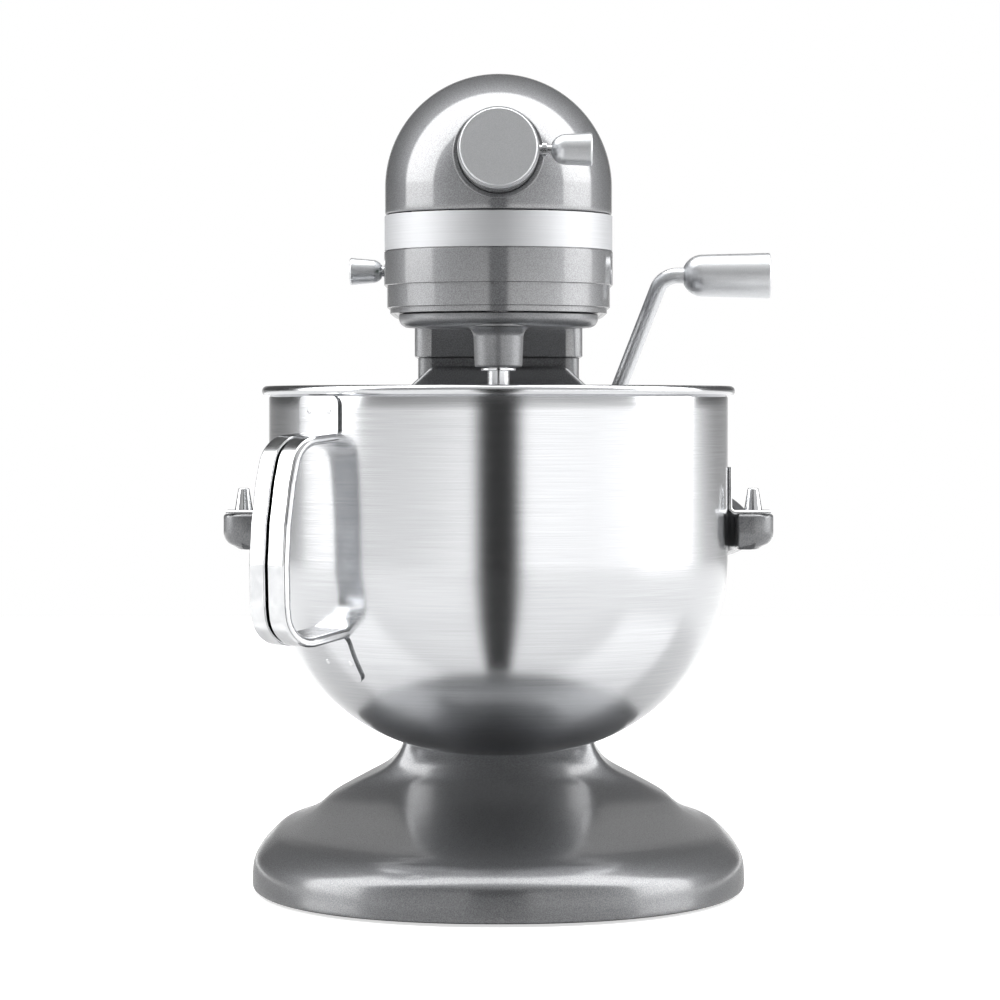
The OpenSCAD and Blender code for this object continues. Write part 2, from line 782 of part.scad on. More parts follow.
ring_module = 2 * beater_offset / (ring_teeth - planet_teeth);
case_r = 52.5;
dish_top_z = head_bottom_z - running_gap;
planet_z = head_bottom_z + 3.6;
case_floor_z = planet_z + gear_w + 1.6;
case_floor_t = 4;
centre_z = case_floor_z + case_floor_t + 3.5;
centre_w = gear_w + 1;
case_roof_z = centre_z + centre_w + 9;
case_roof_t = 4;
bevel_pitch_r = bevel_module * bevel_teeth / 2;
bevel_z = hub_z - bevel_pitch_r;

module ring_gear() color("Gray") on_axis() {
    translate([0, 0, planet_z]) difference() {
        linear_extrude(gear_w + 1) circle(case_r - 2.5 - fit_gap);
        translate([0, 0, -1]) linear_extrude(gear_w + 3)
            rotate(-90)
                gear_outline(ring_module, ring_teeth, -0.12, 1.25, 0.9);
    }
}

module planet_pinion() color("Gray") on_axis() {
    translate([0, -beater_offset, planet_z]) difference() {
        linear_extrude(gear_w) rotate(-90) gear_outline(ring_module, planet_teeth, 0.06, 0.9);
        translate([0, 0, -1]) cylinder(h = gear_w + 2, r = beater_r);
    }
}

module planetary() color("#9a9a9a") on_axis() {
    bottom = dish_top_z - dish_t;
    difference() {
        union() {
            // dish with a rounded lower edge
            rotate_extrude($fn = 96) union() {
                translate([0, bottom]) square([dish_r - 4, dish_t]);
                translate([0, bottom + 4]) square([dish_r, dish_t - 4]);
                translate([dish_r - 4, bottom + 4]) circle(4);
            }
            // boss round the beater shaft, slightly tapered, with a rounded root
            translate([0, -beater_offset, 0]) rotate_extrude() {
                difference() {
                    polygon([[0, boss_bottom_z], [boss_r - 1, boss_bottom_z],
                        [boss_r, boss_bottom_z + 1], [boss_r + 0.6, bottom - 4],
                        [boss_r + 4.6, bottom + 0.01], [boss_r + 4.6, bottom + 1],
                        [0, bottom + 1]]);
                    translate([boss_r + 4.6, bottom - 4]) circle(4);
                }
            }
            // hub that clamps the planetary to its shaft
            along_z(0, 0, dish_top_z - 1, planet_z + gear_w - 1, shaft_r + 6);
        }
        along_z(0, 0, bottom - 20, planet_z + gear_w + 5, shaft_r);
        along_z(0, -beater_offset, boss_bottom_z - 1, dish_top_z + 1,
            beater_r + shaft_clearance);
    }
}

module planetary_shaft() color("Silver") on_axis() {
    along_z(0, 0, dish_top_z - dish_t + 2, bevel_z + 4, shaft_r);
}

module shaft_bearings() color("Silver") on_axis() {
    for (z = [case_floor_z, case_roof_z])
        difference() {
            along_z(0, 0, z, z + case_roof_t, shaft_r + 6);
            along_z(0, 0, z - 1, z + case_roof_t + 1, shaft_r + shaft_clearance);
        }
}

// One tooth space per pitch, on the cone of a bevel gear whose apex lies at the origin
module bevel_gear(bore_r, phase) {
    n = bevel_teeth;
    m = bevel_module;
    p = bevel_pitch_r;
    shrink = (p - gear_w * 0.75) / p;
    translate([0, 0, -p]) difference() {
        union() {
            linear_extrude(p * (1 - shrink), scale = shrink) rotate(phase)
                gear_outline(m, n, 0.14, 0.8, 1.1);
            translate([0, 0, -4]) cylinder(h = 4, r = p - 1.2 * m);
        }
        translate([0, 0, -6]) cylinder(h = p, r = bore_r);
    }
}

module centre_gear() color("#8a8a8a") on_axis() {
    translate([0, 0, centre_z]) difference() {
        linear_extrude(centre_w) rotate(pinion_angle)
            gear_outline(spur_module, centre_teeth, 0.06);
        translate([0, 0, -1]) cylinder(h = centre_w + 2, r = shaft_r);
    }
    translate([0, 0, hub_z]) bevel_gear(shaft_r, 0);
}

module hub_bevel_gear() color("#8a8a8a") on_axis() {
    translate([0, 0, hub_z]) rotate([90, 0, 0]) mirror([0, 0, 1])
        rotate(180) bevel_gear(0.01, 180 / bevel_teeth);
    difference() {
        along_y(0, hub_z, -socket_mouth, -bevel_pitch_r - 3.9, socket_r);
        box([-hub_square / 2, -socket_mouth - 1, hub_z - hub_square / 2],
            [hub_square / 2, -socket_mouth + 22, hub_z + hub_square / 2]);
    }
}

pinion_distance = spur_module * (centre_teeth + pinion_teeth) / 2;
pinion_x = -20;
pinion_y = sqrt(pow(pinion_distance, 2) - pow(pinion_x, 2));
pinion_angle = atan2(pinion_y, pinion_x);
wheel_pitch_r = worm_module * wheel_teeth / 2;
wheel_z = case_roof_z + case_roof_t + 6;
motor_x = pinion_x + wheel_pitch_r + worm_r;
motor_z = wheel_z + gear_w / 2;
pinion_shaft_r = 5;

module pinion_shaft() color("Silver") on_axis() {
    translate([pinion_x, pinion_y, 0]) {
        along_z(0, 0, case_floor_z, wheel_z + gear_w + 3, pinion_shaft_r);
        translate([0, 0, centre_z]) linear_extrude(centre_w)
            rotate(pinion_angle + 180 + 180 / pinion_teeth)
                gear_outline(spur_module, pinion_teeth, 0.06);
    }
}

module pinion_bushes() color("#b08d57") on_axis() {
    for (z = [case_floor_z, case_roof_z])
        difference() {
            along_z(pinion_x, pinion_y, z, z + case_roof_t, pinion_shaft_r + 3);
            along_z(pinion_x, pinion_y, z - 1, z + case_roof_t + 1,
                pinion_shaft_r + shaft_clearance);
        }
}

worm_lead = PI * worm_module * worm_starts;
worm_lead_angle = atan(worm_lead / (2 * PI * worm_r));

module worm_wheel() color("#d8cfa8") on_axis() {
    translate([pinion_x, pinion_y, wheel_z]) difference() {
        union() {
            translate([0, 0, gear_w / 2]) for (up = [0, 1])
                mirror([0, 0, up]) linear_extrude(gear_w / 2, slices = 2,
                    twist = (up == 0 ? -1 : 1) * gear_w / 2 * tan(worm_lead_angle)
                        / wheel_pitch_r * 180 / PI)
                    gear_outline(worm_module, wheel_teeth, 0.14, 0.8, 1.1);
        }
        translate([0, 0, -1]) cylinder(h = gear_w + 2, r = pinion_shaft_r);
    }
}

worm_y = [pinion_y - worm_l / 2, pinion_y + worm_l / 2];
stator_y = 84;
bracket_y = rear_seam - 8;
end_bracket_half_w = 30;
commutator_y = [stator_y + armature_l + 8, stator_y + armature_l + 22];

// Radius of the worm at an angle round its axis: core, flank, crest, flank
function worm_radius(a) =
    let (part = (a * worm_starts / 360) % 1, core = worm_r - 2.3, crest = worm_r + 1.5)
    part < 0.19 ? crest : part < 0.33 ? crest + (core - crest) * (part - 0.19) / 0.14
    : part < 0.86 ? core : core + (crest - core) * (part - 0.86) / 0.14;

module motor_worm() color("Silver") on_axis() {
    steps = [0, 0.19, 0.33, 0.5, 0.7, 0.86];
    places = [for (s = [0 : worm_starts - 1]) for (t = steps) (s + t) * 360 / worm_starts];
    difference() {
        translate([motor_x, worm_y[0], motor_z]) rotate([-90, 0, 0])
            linear_extrude(worm_l, twist = -360 * worm_l / worm_lead,
                slices = ceil(worm_l / 1.2))
                rotate(worm_phase) polygon([for (a = places) worm_radius(a)
                    * [cos(a), sin(a)]]);
        along_y(motor_x, motor_z, worm_y[0] - 1, worm_y[1] + 1, motor_shaft_r);
    }
}
// turns a groove of the worm, at 0.595 of a pitch, to face the wheel
worm_phase = 180 - 360 * worm_l / 2 / worm_lead - 0.595 * 360 / worm_starts;

module armature() color("#b87333") on_axis() {
    along_y(motor_x, motor_z, worm_y[0] - 7, bracket_y + 2, motor_shaft_r);
    difference() {
        along_y(motor_x, motor_z, stator_y, stator_y + armature_l, armature_r);
        for (a = [0 : 30 : 330])
            translate([motor_x, stator_y - 1, motor_z]) rotate([0, a, 0])
                box([armature_r - 4, 0, -1.2], [armature_r + 1, armature_l + 2, 1.2]);
    }
}

module commutator() color("#b87333") on_axis() {
    difference() {
        along_y(motor_x, motor_z, commutator_y[0], commutator_y[1], 10);
        along_y(motor_x, motor_z, commutator_y[0] - 1, commutator_y[1] + 1, motor_shaft_r);
    }
}

module motor_fan() color("#303030") on_axis() {
    fan_y = worm_y[1] + 8;
    difference() {
        union() {
            along_y(motor_x, motor_z, fan_y, fan_y + 2, 17);
            // hub and blades, drawn as one outline
            translate([motor_x, fan_y + 9, motor_z]) rotate([90, 0, 0]) linear_extrude(8) {
                circle(7);
                for (a = [0 : 40 : 320])
                    rotate(a + 17) translate([6, -0.8]) square([10, 1.6]);
            }
        }
        along_y(motor_x, motor_z, fan_y - 1, fan_y + 10, motor_shaft_r);
    }
}

module motor_stator() color("#555555") on_axis() {
    difference() {
        along_y(motor_x, motor_z, stator_y, stator_y + armature_l, stator_r);
        along_y(motor_x, motor_z, stator_y - 1, stator_y + armature_l + 1, armature_r + 1);
    }
    // legs that hold the end bracket
    for (x = [-1, 1])
        box([motor_x + x * 26 - 3, stator_y + armature_l, motor_z - 4],
            [motor_x + x * 26 + 3, bracket_y, motor_z + 4]);
}

module motor_end_bracket() color("#777777") on_axis() {
    difference() {
        box([motor_x - end_bracket_half_w, bracket_y, motor_z - 12],
            [motor_x + end_bracket_half_w, bracket_y + 5, motor_z + end_bracket_half_w]);
        along_y(motor_x, motor_z, bracket_y - 1, bracket_y + 6, 8);
        along_y(0, arch_z + 8, bracket_y - 1, bracket_y + 6, 2);
    }
}

module motor_bearings() color("Silver") on_axis() {
    difference() {
        along_y(motor_x, motor_z, bracket_y, bracket_y + 5, 8);
        along_y(motor_x, motor_z, bracket_y - 1, bracket_y + 6, motor_shaft_r
            + shaft_clearance);
    }
    difference() {
        along_y(motor_x, motor_z, worm_y[0] - 7, worm_y[0] - 1, 8);
        along_y(motor_x, motor_z, worm_y[0] - 8, worm_y[0], motor_shaft_r + shaft_clearance);
    }
}

brush_y = (commutator_y[0] + commutator_y[1]) / 2;

module carbon_brushes() color("#222222") on_axis() {
    for (x = [-1, 1])
        box([min(motor_x + x * 10.3, motor_x + x * 22), brush_y - 3, motor_z - 4],
            [max(motor_x + x * 10.3, motor_x + x * 22), brush_y + 3, motor_z + 4]);
}

module brush_holders() color("#b08d57") on_axis() {
    for (x = [-1, 1])
        difference() {
            box([min(motor_x + x * 12, motor_x + x * 23), brush_y - 5, motor_z - 6],
                [max(motor_x + x * 12, motor_x + x * 23), brush_y + 5, motor_z + 6]);
            box([min(motor_x + x * 9, motor_x + x * 22), brush_y - 3, motor_z - 4],
                [max(motor_x + x * 9, motor_x + x * 22), brush_y + 3, motor_z + 4]);
        }
}

module case_outline(wall) {
    circle(spur_module * (centre_teeth / 2 + 1) + 1.5 + wall);
    translate([pinion_x, pinion_y]) circle(spur_module * (pinion_teeth / 2 + 1) + 1.5 + wall);
    neck = spur_module * (pinion_teeth / 2 + 1) + wall;
    rotate(pinion_angle) translate([0, -neck]) square([pinion_distance, 2 * neck]);
}

module gearcase() color("#8c8c8c") on_axis() {
    difference() {
        union() {
            along_z(0, 0, planet_z - 0.5, case_floor_z + case_floor_t, case_r - 0.2);
            translate([0, 0, case_floor_z]) linear_extrude(case_roof_z + case_roof_t
                - case_floor_z) case_outline(3);
            // front wall that carries the hub
            box([-25, -wall_y, case_roof_z], [25, -wall_y + 6, hub_z + 17]);
            // post that carries the front bearing of the motor
            box([motor_x - 10, worm_y[0] - 7, case_roof_z], [motor_x + 10, worm_y[0] - 1,
                motor_z + 10]);
        }
        along_z(0, 0, planet_z - 1, planet_z + gear_w + 1, case_r - 2.5);
        along_z(0, 0, planet_z - 1, case_floor_z + 1, shaft_r + 6);
        along_z(0, 0, case_floor_z - 1, case_roof_z + 10, shaft_r + 6);
        translate([0, 0, case_floor_z + case_floor_t]) linear_extrude(case_roof_z
            - case_floor_z - case_floor_t) case_outline(0);
        along_z(pinion_x, pinion_y, case_floor_z - 1, case_roof_z + 10, pinion_shaft_r + 3);
        along_y(0, hub_z, -wall_y - 1, -wall_y + 7, socket_r + 0.3);
        along_y(motor_x, motor_z, worm_y[0] - 8, worm_y[0], 8);
    }
}

// ---------------------------------------------------------------- beater shaft

module beater_shaft() color("Silver") on_axis() {
    difference() {
        union() {
            along_z(0, -beater_offset, beater_bottom_z + 1, planet_z + gear_w, beater_r);
            along_z(0, -beater_offset, beater_bottom_z, beater_bottom_z + 1,
                beater_r - 1, beater_r);
        }
        along_x(-beater_offset, beater_pin_z, -beater_r - 1, beater_r + 1, 2);
    }
}

module beater_pin() color("Silver") on_axis() {
    along_x(-beater_offset, beater_pin_z, -beater_pin_l / 2, beater_pin_l / 2, 2);
}

module beater_washer() color("Silver") on_axis() {
    translate([0, -beater_offset, boss_bottom_z - running_gap - 1.4]) difference() {
        cylinder(h = 1.4, r = 8.8);
        translate([0, 0, -1]) cylinder(h = 4, r = beater_r);
    }
}

// ---------------------------------------------------------------- bowl

bowl_arc_z = bowl_bottom_z + bowl_arc_r;
bowl_flat_r = bowl_r - bowl_arc_r;

module bowl_profile(inset) {
    translate([0, bowl_arc_z]) square([bowl_r - inset, bowl_top_z + 2 - bowl_arc_z]);
    translate([0, bowl_bottom_z + inset]) square([bowl_flat_r, bowl_arc_r]);
    intersection() {
        translate([bowl_flat_r, bowl_arc_z]) circle(bowl_arc_r - inset, $fn = 180);
        translate([0, bowl_bottom_z]) square([bowl_r, bowl_arc_r]);
    }
}

module bowl() color("#d2d2d2") on_axis() {
    rotate_extrude($fn = 128) union() {
        difference() {
            intersection() {
                bowl_profile(0);
                square([200, bowl_top_z - rim_bead_r]);
            }
            bowl_profile(bowl_wall);
        }
        translate([bowl_r - bowl_wall + rim_bead_r - 0.4, bowl_top_z - rim_bead_r])
            circle(rim_bead_r, $fn = small);
    }
}

module handle_frame() {
    rotate(-90 - handle_turn) children();
}

// The handle's path in section: outer edge less an inset
module handle_loop(inset) {
    r = 17;
    intersection() {
        round_rect([bowl_r - 60, handle_bottom_z + inset],
            [handle_reach - inset, handle_top_z - inset], r - inset);
        translate([handle_reach - handle_bow_r, handle_bow_z])
            circle(handle_bow_r - inset, $fn = 360);
        translate([bowl_r - 14, handle_bottom_z - 1]) square([80, 200]);
    }
}

module bowl_handle() color("#dcdcdc") on_axis() handle_frame() {
    plate = 1.5;
    plate_turn = 7.4;
    difference() {
        union() {
            rotate([90, 0, 0]) translate([0, 0, -handle_w / 2]) linear_extrude(handle_w)
                difference() {
                    handle_loop(0);
                    handle_loop(handle_t);
                }
            // plates welded to the bowl
            rotate([0, 0, -plate_turn]) rotate_extrude(angle = 2 * plate_turn)
                translate([bowl_r - 1, handle_top_z - 6])
                    square([plate + 1, bowl_top_z - 6 - handle_top_z + 6]);
            rotate([0, 0, -plate_turn]) rotate_extrude(angle = 2 * plate_turn)
                intersection() {
                    translate([bowl_flat_r, bowl_arc_z]) circle(bowl_arc_r + plate, $fn = 180);
                    translate([bowl_r - 30, handle_bottom_z - 18]) square([40, 26]);
                }
        }
        // the hollow of the folded strap, open along the outside
        rotate([90, 0, 0]) translate([0, 0, -handle_w / 2 + handle_sheet])
            linear_extrude(handle_w - 2 * handle_sheet) difference() {
                handle_loop(handle_sheet);
                handle_loop(handle_t - handle_sheet);
            }
        rotate([90, 0, 0]) translate([0, 0, -handle_slot / 2])
            linear_extrude(handle_slot) difference() {
                translate([bowl_r + 8, handle_bottom_z - 1]) square([100, 130]);
                handle_loop(handle_t - handle_sheet - 1);
            }
        // the bowl itself
        rotate_extrude($fn = 128) bowl_profile(-0.02);
    }
}

bracket_t = 1.9;
bracket_half_w = 9;

module side_brackets() color("#c8c8c8") on_axis() {
    both_sides() difference() {
        union() {
            box([bowl_r - 0.6, -bracket_half_w, knuckle_top_z + fit_gap],
                [bowl_r + bracket_t, bracket_half_w, knuckle_top_z + 24]);
            box([bowl_r, -bracket_half_w, knuckle_top_z + fit_gap],
                [knuckle_x - 1.8, bracket_half_w, knuckle_top_z + fit_gap + bracket_t]);
        }
        along_z(0, 0, knuckle_top_z - 5, knuckle_top_z + 30, bowl_r + 0.005, $fn = 128);
        along_z(pin_x, 0, knuckle_top_z - 1, knuckle_top_z + 5, pin_r + 0.4);
    }
}

tongue_z = 214;
module rear_tongue() color("#c8c8c8") on_axis() {
    rotate([0, 0, 83]) rotate_extrude(angle = 14, $fn = 128)
        translate([bowl_r + 0.01, tongue_z - 10]) square([1.6, 20]);
    along_y(0, tongue_z, bowl_r + 0.8, bowl_r + 4.6, 4);
}

// ---------------------------------------------------------------- yoke and lift

plate_y = column_front - running_gap - 1.4 - 8;
plate_top_w = yoke_half_w - 13;
plate_foot_w = yoke_half_w - 19.6;
plate_foot_z = knuckle_top_z - 34;

module yoke() color("DimGray") on_axis() {
    difference() {
        union() {
            // arms round the bowl, deeper towards the column
            intersection() {
                difference() {
                    along_z(0, 0, 150, 230, arm_r + arm_t, $fn = 128);
                    along_z(0, 0, 149, 231, arm_r, $fn = 128);
                }
                rotate([90, 0, 90]) translate([0, 0, -150]) linear_extrude(300)
                    polygon([[-9, knuckle_top_z - 18], [-9, knuckle_top_z], [18,
                        knuckle_top_z], [95, knuckle_top_z + 22], [140, knuckle_top_z + 22],
                        [140, knuckle_top_z - 32], [95, knuckle_top_z - 32], [25,
                        knuckle_top_z - 19]]);
            }
            // centre plate in front of the column
            translate([0, plate_y + 8, 0]) rotate([90, 0, 0]) linear_extrude(8)
                polygon([[-plate_top_w, yoke_top_z], [plate_top_w, yoke_top_z],
                    [yoke_half_w, yoke_top_z - 12], [yoke_half_w, knuckle_top_z - 16],
                    [plate_foot_w, plate_foot_z], [-plate_foot_w, plate_foot_z],
                    [-yoke_half_w, knuckle_top_z - 16], [-yoke_half_w, yoke_top_z - 12]]);
            // knuckles with a rounded outer end
            both_sides() difference() {
                intersection() {
                    translate([0, 11, 0]) rotate([90, 0, 0]) linear_extrude(22)
                        polygon([[arm_r - 0.5, knuckle_top_z], [knuckle_x - 1,
                            knuckle_top_z], [knuckle_x, knuckle_top_z - 2], [knuckle_x,
                            knuckle_top_z - 9], [knuckle_x - 5, knuckle_top_z - 17],
                            [knuckle_x - 8, knuckle_top_z - 19], [arm_r - 0.5,
                            knuckle_top_z - 19]]);
                    along_z(pin_x - 2, 0, 150, 200, knuckle_x - pin_x + 2);
                }
                along_z(0, 0, 149, 231, arm_r, $fn = 128);
            }
            // pads that slide on the column, and lugs through its wall
            for (x = [-lug_x, lug_x]) {
                box([x - 9, plate_y + 8, 166], [x + 9, column_front - running_gap, 262]);
                box([x - lug_half_w, column_front - 1, lug_z[0]],
                    [x + lug_half_w, slide_plate_y, lug_z[1]]);
            }
        }
        both_sides() along_z(pin_x, 0, knuckle_top_z - 10, knuckle_top_z + 1, 2.5);
        // tapped holes for the screws of the slide plate
        for (x = [-lug_x, lug_x])
            along_y(x, slide_screw_z, plate_y + 2, slide_plate_y + 1, 2);
        clip_recess();
    }
}

module locating_pins() color("Silver") on_axis() {
    both_sides() {
        along_z(pin_x, 0, knuckle_top_z - 10, knuckle_top_z, 2.5);
        along_z(pin_x, 0, knuckle_top_z, knuckle_top_z + 1.5, pin_r);
        along_z(pin_x, 0, knuckle_top_z + 1.5, knuckle_top_z + pin_h - 0.5, pin_r, 2.6);
        along_z(pin_x, 0, knuckle_top_z + pin_h - 0.5, knuckle_top_z + pin_h, 2.6, 2.1);
    }
}

slide_plate_y = column_front + column_wall + running_gap;
slide_plate_t = 5;
slide_half_w = column_half_w - column_corner_r;
track_x = [-13, 10];
lever_mid = lever_swing / 2;
crank_r = lift_travel / 2 / sin(lever_mid);
track_gap = roller_r + 1.8;

// Height and distance of the crank's pin from the lever's shaft, bowl raised
crank_pin = [crank_r * cos(lever_mid), crank_r * sin(lever_mid)];

module lift_slide_plate() color("#999999") on_axis() {
    roller_z = lever_z + crank_pin[1];
    difference() {
        union() {
            box([-slide_half_w, slide_plate_y, 200],
                [slide_half_w, slide_plate_y + slide_plate_t, 241]);
            box([track_x[0], slide_plate_y, roller_z - track_gap - 5],
                [track_x[1], lever_y + crank_r + roller_r + 4, roller_z + track_gap + 5]);
        }
        // the track that the roller runs in
        box([track_x[0] + 4, lever_y - 4, roller_z - track_gap],
            [track_x[1] + 1, lever_y + crank_r + roller_r + 1, roller_z + track_gap]);
        for (x = [-lug_x, lug_x]) {
            along_y(x, slide_screw_z, slide_plate_y - 1, slide_plate_y + 10, 2.2);
            along_y(x, slide_screw_z, slide_plate_y + slide_plate_t - 3, slide_plate_y + 10, 4);
        }
    }
}

module slide_plate_screws() color("Silver") on_axis() {
    for (x = [-lug_x, lug_x]) {
        along_y(x, slide_screw_z, plate_y + 3, slide_plate_y + slide_plate_t - 3, 2);
        along_y(x, slide_screw_z, slide_plate_y + slide_plate_t - 3,
            slide_plate_y + slide_plate_t - 0.2, 3.8);
    }
}

module clip_recess() {
    box([-8.5, plate_y - 1, tongue_z - 12], [8.5, plate_y + 3, yoke_top_z - 20]);
}

module bowl_clip() color("Silver") on_axis() {
    // a bent strip with two fingers, open upwards
    difference() {
        box([-8.4, plate_y + 1.2, tongue_z - 11.9], [8.4, plate_y + 3, tongue_z + 12]);
        along_y(0, tongue_z - 8.5, plate_y, plate_y + 4, 1.6);
    }
    for (x = [-1, 1])
        box([min(x * 4.4, x * 5.8), bowl_r + 2.4, tongue_z - 4],
            [max(x * 4.4, x * 5.8), plate_y + 1.2, tongue_z + 8]);
}

height_screw_z = 253;

module height_screw_hole() {
    along_y(0, height_screw_z, column_front - 1, column_front + column_wall + 1, 2.6);
}

// The screw in the column's front wall that sets how high the bowl is raised
module height_screw() color("Silver") on_axis() {
    along_y(0, height_screw_z, column_front - 0.9, column_front + column_wall + 4, 2.5);
    along_y(0, height_screw_z, column_front + column_wall, column_front + column_wall + 3, 4.5);
}

crank_x = [track_x[1] + 3, track_x[1] + 9];

module lever_frame() {
    translate([0, lever_y, lever_z]) children();
}

lever_shaft_r = 5.5;

module lever_shaft() color("Silver") on_axis() lever_frame() {
    along_x(0, 0, crank_x[0] - 1, lever_boss_x[1] - 2, lever_shaft_r);
}

module lever_bush() color("#b08d57") on_axis() lever_frame() {
    difference() {
        union() {
            along_x(0, 0, column_half_w - column_wall, column_half_w + 1, bush_r);
            along_x(0, 0, column_half_w, column_half_w + 1, bush_r + 1.5);
        }
        along_x(0, 0, column_half_w - column_wall - 1, column_half_w + 2,
            lever_shaft_r + shaft_clearance);
    }
}

module lift_crank() color("#999999") on_axis() lever_frame() {
    along_x_plane(crank_x[0], crank_x[1]) difference() {
        union() {
            circle(lever_shaft_r + 4);
            rotate(lever_mid) translate([2, -4]) square([crank_r - 2, 8]);
            translate(crank_pin) circle(5);
        }
        circle(lever_shaft_r);
    }
    along_x(crank_pin[0], crank_pin[1], track_x[0] + 6, crank_x[0] + 1, 2.5);
}

// A YZ outline drawn out from x0 to x1.
module along_x_plane(x0, x1) {
    translate([x0, 0, 0]) rotate([90, 0, 90]) linear_extrude(x1 - x0) children();
}

module crank_roller() color("#b08d57") on_axis() lever_frame() {
    difference() {
        along_x(crank_pin[0], crank_pin[1], track_x[0] + 6, crank_x[0] - 1, roller_r);
        along_x(crank_pin[0], crank_pin[1], track_x[0] + 5, crank_x[0], 2.5);
    }
}

spring_turns = 3.5;
spring_wire = 1.1;
spring_coil = lever_shaft_r + spring_wire + 1.2;
spring_x = [crank_x[1] + 3, crank_x[1] + 15];

// A coil of round wire about the lever's shaft, swept ring by ring
module lift_spring() color("Silver") on_axis() lever_frame() {
    sides = 6;
    steps = 14 * spring_turns;
    points = [
        for (i = [0 : steps]) for (s = [0 : sides - 1])
            let (a = 360 * i / 14, b = 360 * s / sides, r = spring_coil + spring_wire * cos(b))
            [spring_x[0] + (spring_x[1] - spring_x[0]) * i / steps + spring_wire * sin(b),
                r * cos(a), r * sin(a)]
    ];
    walls = [
        for (i = [0 : steps - 1]) for (s = [0 : sides - 1])
            let (a = i * sides + s, b = i * sides + (s + 1) % sides)
            each [[a, b, b + sides], [a, b + sides, a + sides]]
    ];
    ends = [[for (s = [sides - 1 : -1 : 0]) s], [for (s = [0 : sides - 1]) steps * sides + s]];
    polyhedron(points, concat(walls, ends));
    // the collar that holds the coil on the shaft
    difference() {
        along_x(0, 0, spring_x[1] + 1, spring_x[1] + 4, spring_coil + 1);
        along_x(0, 0, spring_x[1], spring_x[1] + 5, lever_shaft_r);
    }
}

// The lever's rod lies in a plane that leans with the lever: out, up, bend, out
lever_boss_x = [column_half_w + 1.5, column_half_w + 9];
rod_start_x = column_half_w + 4.9;
grip_h = grip_rise / cos(lever_lean);
rod_bend_r = 11;

module lever_plane() {
    on_axis() lever_frame() rotate([lever_lean, 0, 0]) children();
}

module lever_rod() color("#c8c8c8") lever_plane() {
    bend_angle = 90 - lever_flare;
    trim = rod_bend_r * tan(bend_angle / 2);
    corner_x = rod_start_x + grip_h * tan(lever_flare);
    length = grip_h / cos(lever_flare) - trim;
    difference() {
        along_x(0, 0, lever_boss_x[0], lever_boss_x[1], lever_shaft_r + 3.5);
        along_x(0, 0, lever_boss_x[0] - 1, lever_boss_x[1] - 2, lever_shaft_r);
    }
    translate([rod_start_x, 0, 0]) rotate([0, lever_flare, 0]) difference() {
        cylinder(h = length, r = rod_r);
        translate([0, 0, -1]) cylinder(h = lever_shaft_r + 2.5, r = rod_r + 1);
    }
    translate([corner_x + trim, 0, grip_h - rod_bend_r]) rotate([90, 0, 0])
        rotate([0, 0, 90]) rotate_extrude(angle = bend_angle)
            translate([rod_bend_r, 0]) circle(rod_r);
    along_x(0, grip_h, corner_x + trim, grip_x - grip_l + 12, rod_r);
}

module lever_grip() color("#b8b8b8") lever_plane() {
    translate([0, 0, grip_h]) knob(grip_x - grip_l, grip_l, grip_r - 0.9, grip_r, rod_r, 12);
}

base_foot();
rubber_feet();
column();
column_screws();
head_lower_housing();
head_upper_housing();
trim_band();
rear_cover();
rear_cover_screw();
head_screws();
cord_gland();
hub_sleeve();
hub_cap();
hub_thumb_stem();
hub_thumb_knob();
speed_knob();
speed_slide();
control_board();
gearcase();
ring_gear();
planetary();
planetary_shaft();
centre_gear();
shaft_bearings();
beater_shaft();
beater_pin();
beater_washer();
planet_pinion();
hub_bevel_gear();
pinion_shaft();
worm_wheel();
pinion_bushes();
motor_stator();
armature();
motor_worm();
commutator();
motor_fan();
carbon_brushes();
brush_holders();
motor_bearings();
motor_end_bracket();
yoke();
locating_pins();
lift_slide_plate();
slide_plate_screws();
bowl_clip();
lever_shaft();
lever_bush();
lift_crank();
crank_roller();
lift_spring();
lever_rod();
lever_grip();
bowl();
bowl_handle();
side_brackets();
rear_tongue();
height_screw();
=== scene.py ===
"""A bowl-lift stand mixer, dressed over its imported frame. Lengths are millimetres about the
planetary axis until build_mesh() turns them to metres in the frame."""
import json
import math

import bmesh
import bpy
import numpy as np
from mathutils import Matrix, Vector


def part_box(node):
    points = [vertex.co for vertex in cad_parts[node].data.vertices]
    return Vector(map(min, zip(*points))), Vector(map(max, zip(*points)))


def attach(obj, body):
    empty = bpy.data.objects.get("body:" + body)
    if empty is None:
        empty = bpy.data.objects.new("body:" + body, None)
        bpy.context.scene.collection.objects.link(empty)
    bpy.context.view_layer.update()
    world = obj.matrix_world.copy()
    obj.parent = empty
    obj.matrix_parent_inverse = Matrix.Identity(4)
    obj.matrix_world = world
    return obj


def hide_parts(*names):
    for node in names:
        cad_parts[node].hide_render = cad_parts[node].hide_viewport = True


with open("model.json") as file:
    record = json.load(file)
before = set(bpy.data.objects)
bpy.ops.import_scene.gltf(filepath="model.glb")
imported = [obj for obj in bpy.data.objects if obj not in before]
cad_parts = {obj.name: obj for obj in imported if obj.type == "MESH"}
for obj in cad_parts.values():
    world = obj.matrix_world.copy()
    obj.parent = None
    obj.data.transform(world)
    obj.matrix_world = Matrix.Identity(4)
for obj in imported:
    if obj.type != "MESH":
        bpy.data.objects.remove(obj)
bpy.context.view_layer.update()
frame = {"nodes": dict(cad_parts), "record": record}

MM = 0.001
# The planetary axis stands over the middle of the bowl
AXIS_Y = sum(corner.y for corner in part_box("bowl")) / 2


# ------ materials

def linear(hex_colour):
    """An sRGB hex colour as a linear RGBA value."""
    parts = [int(hex_colour[i:i + 2], 16) / 255 for i in (1, 3, 5)]
    return [c / 12.92 if c <= 0.04045 else ((c + 0.055) / 1.055) ** 2.4 for c in parts] + [1.0]


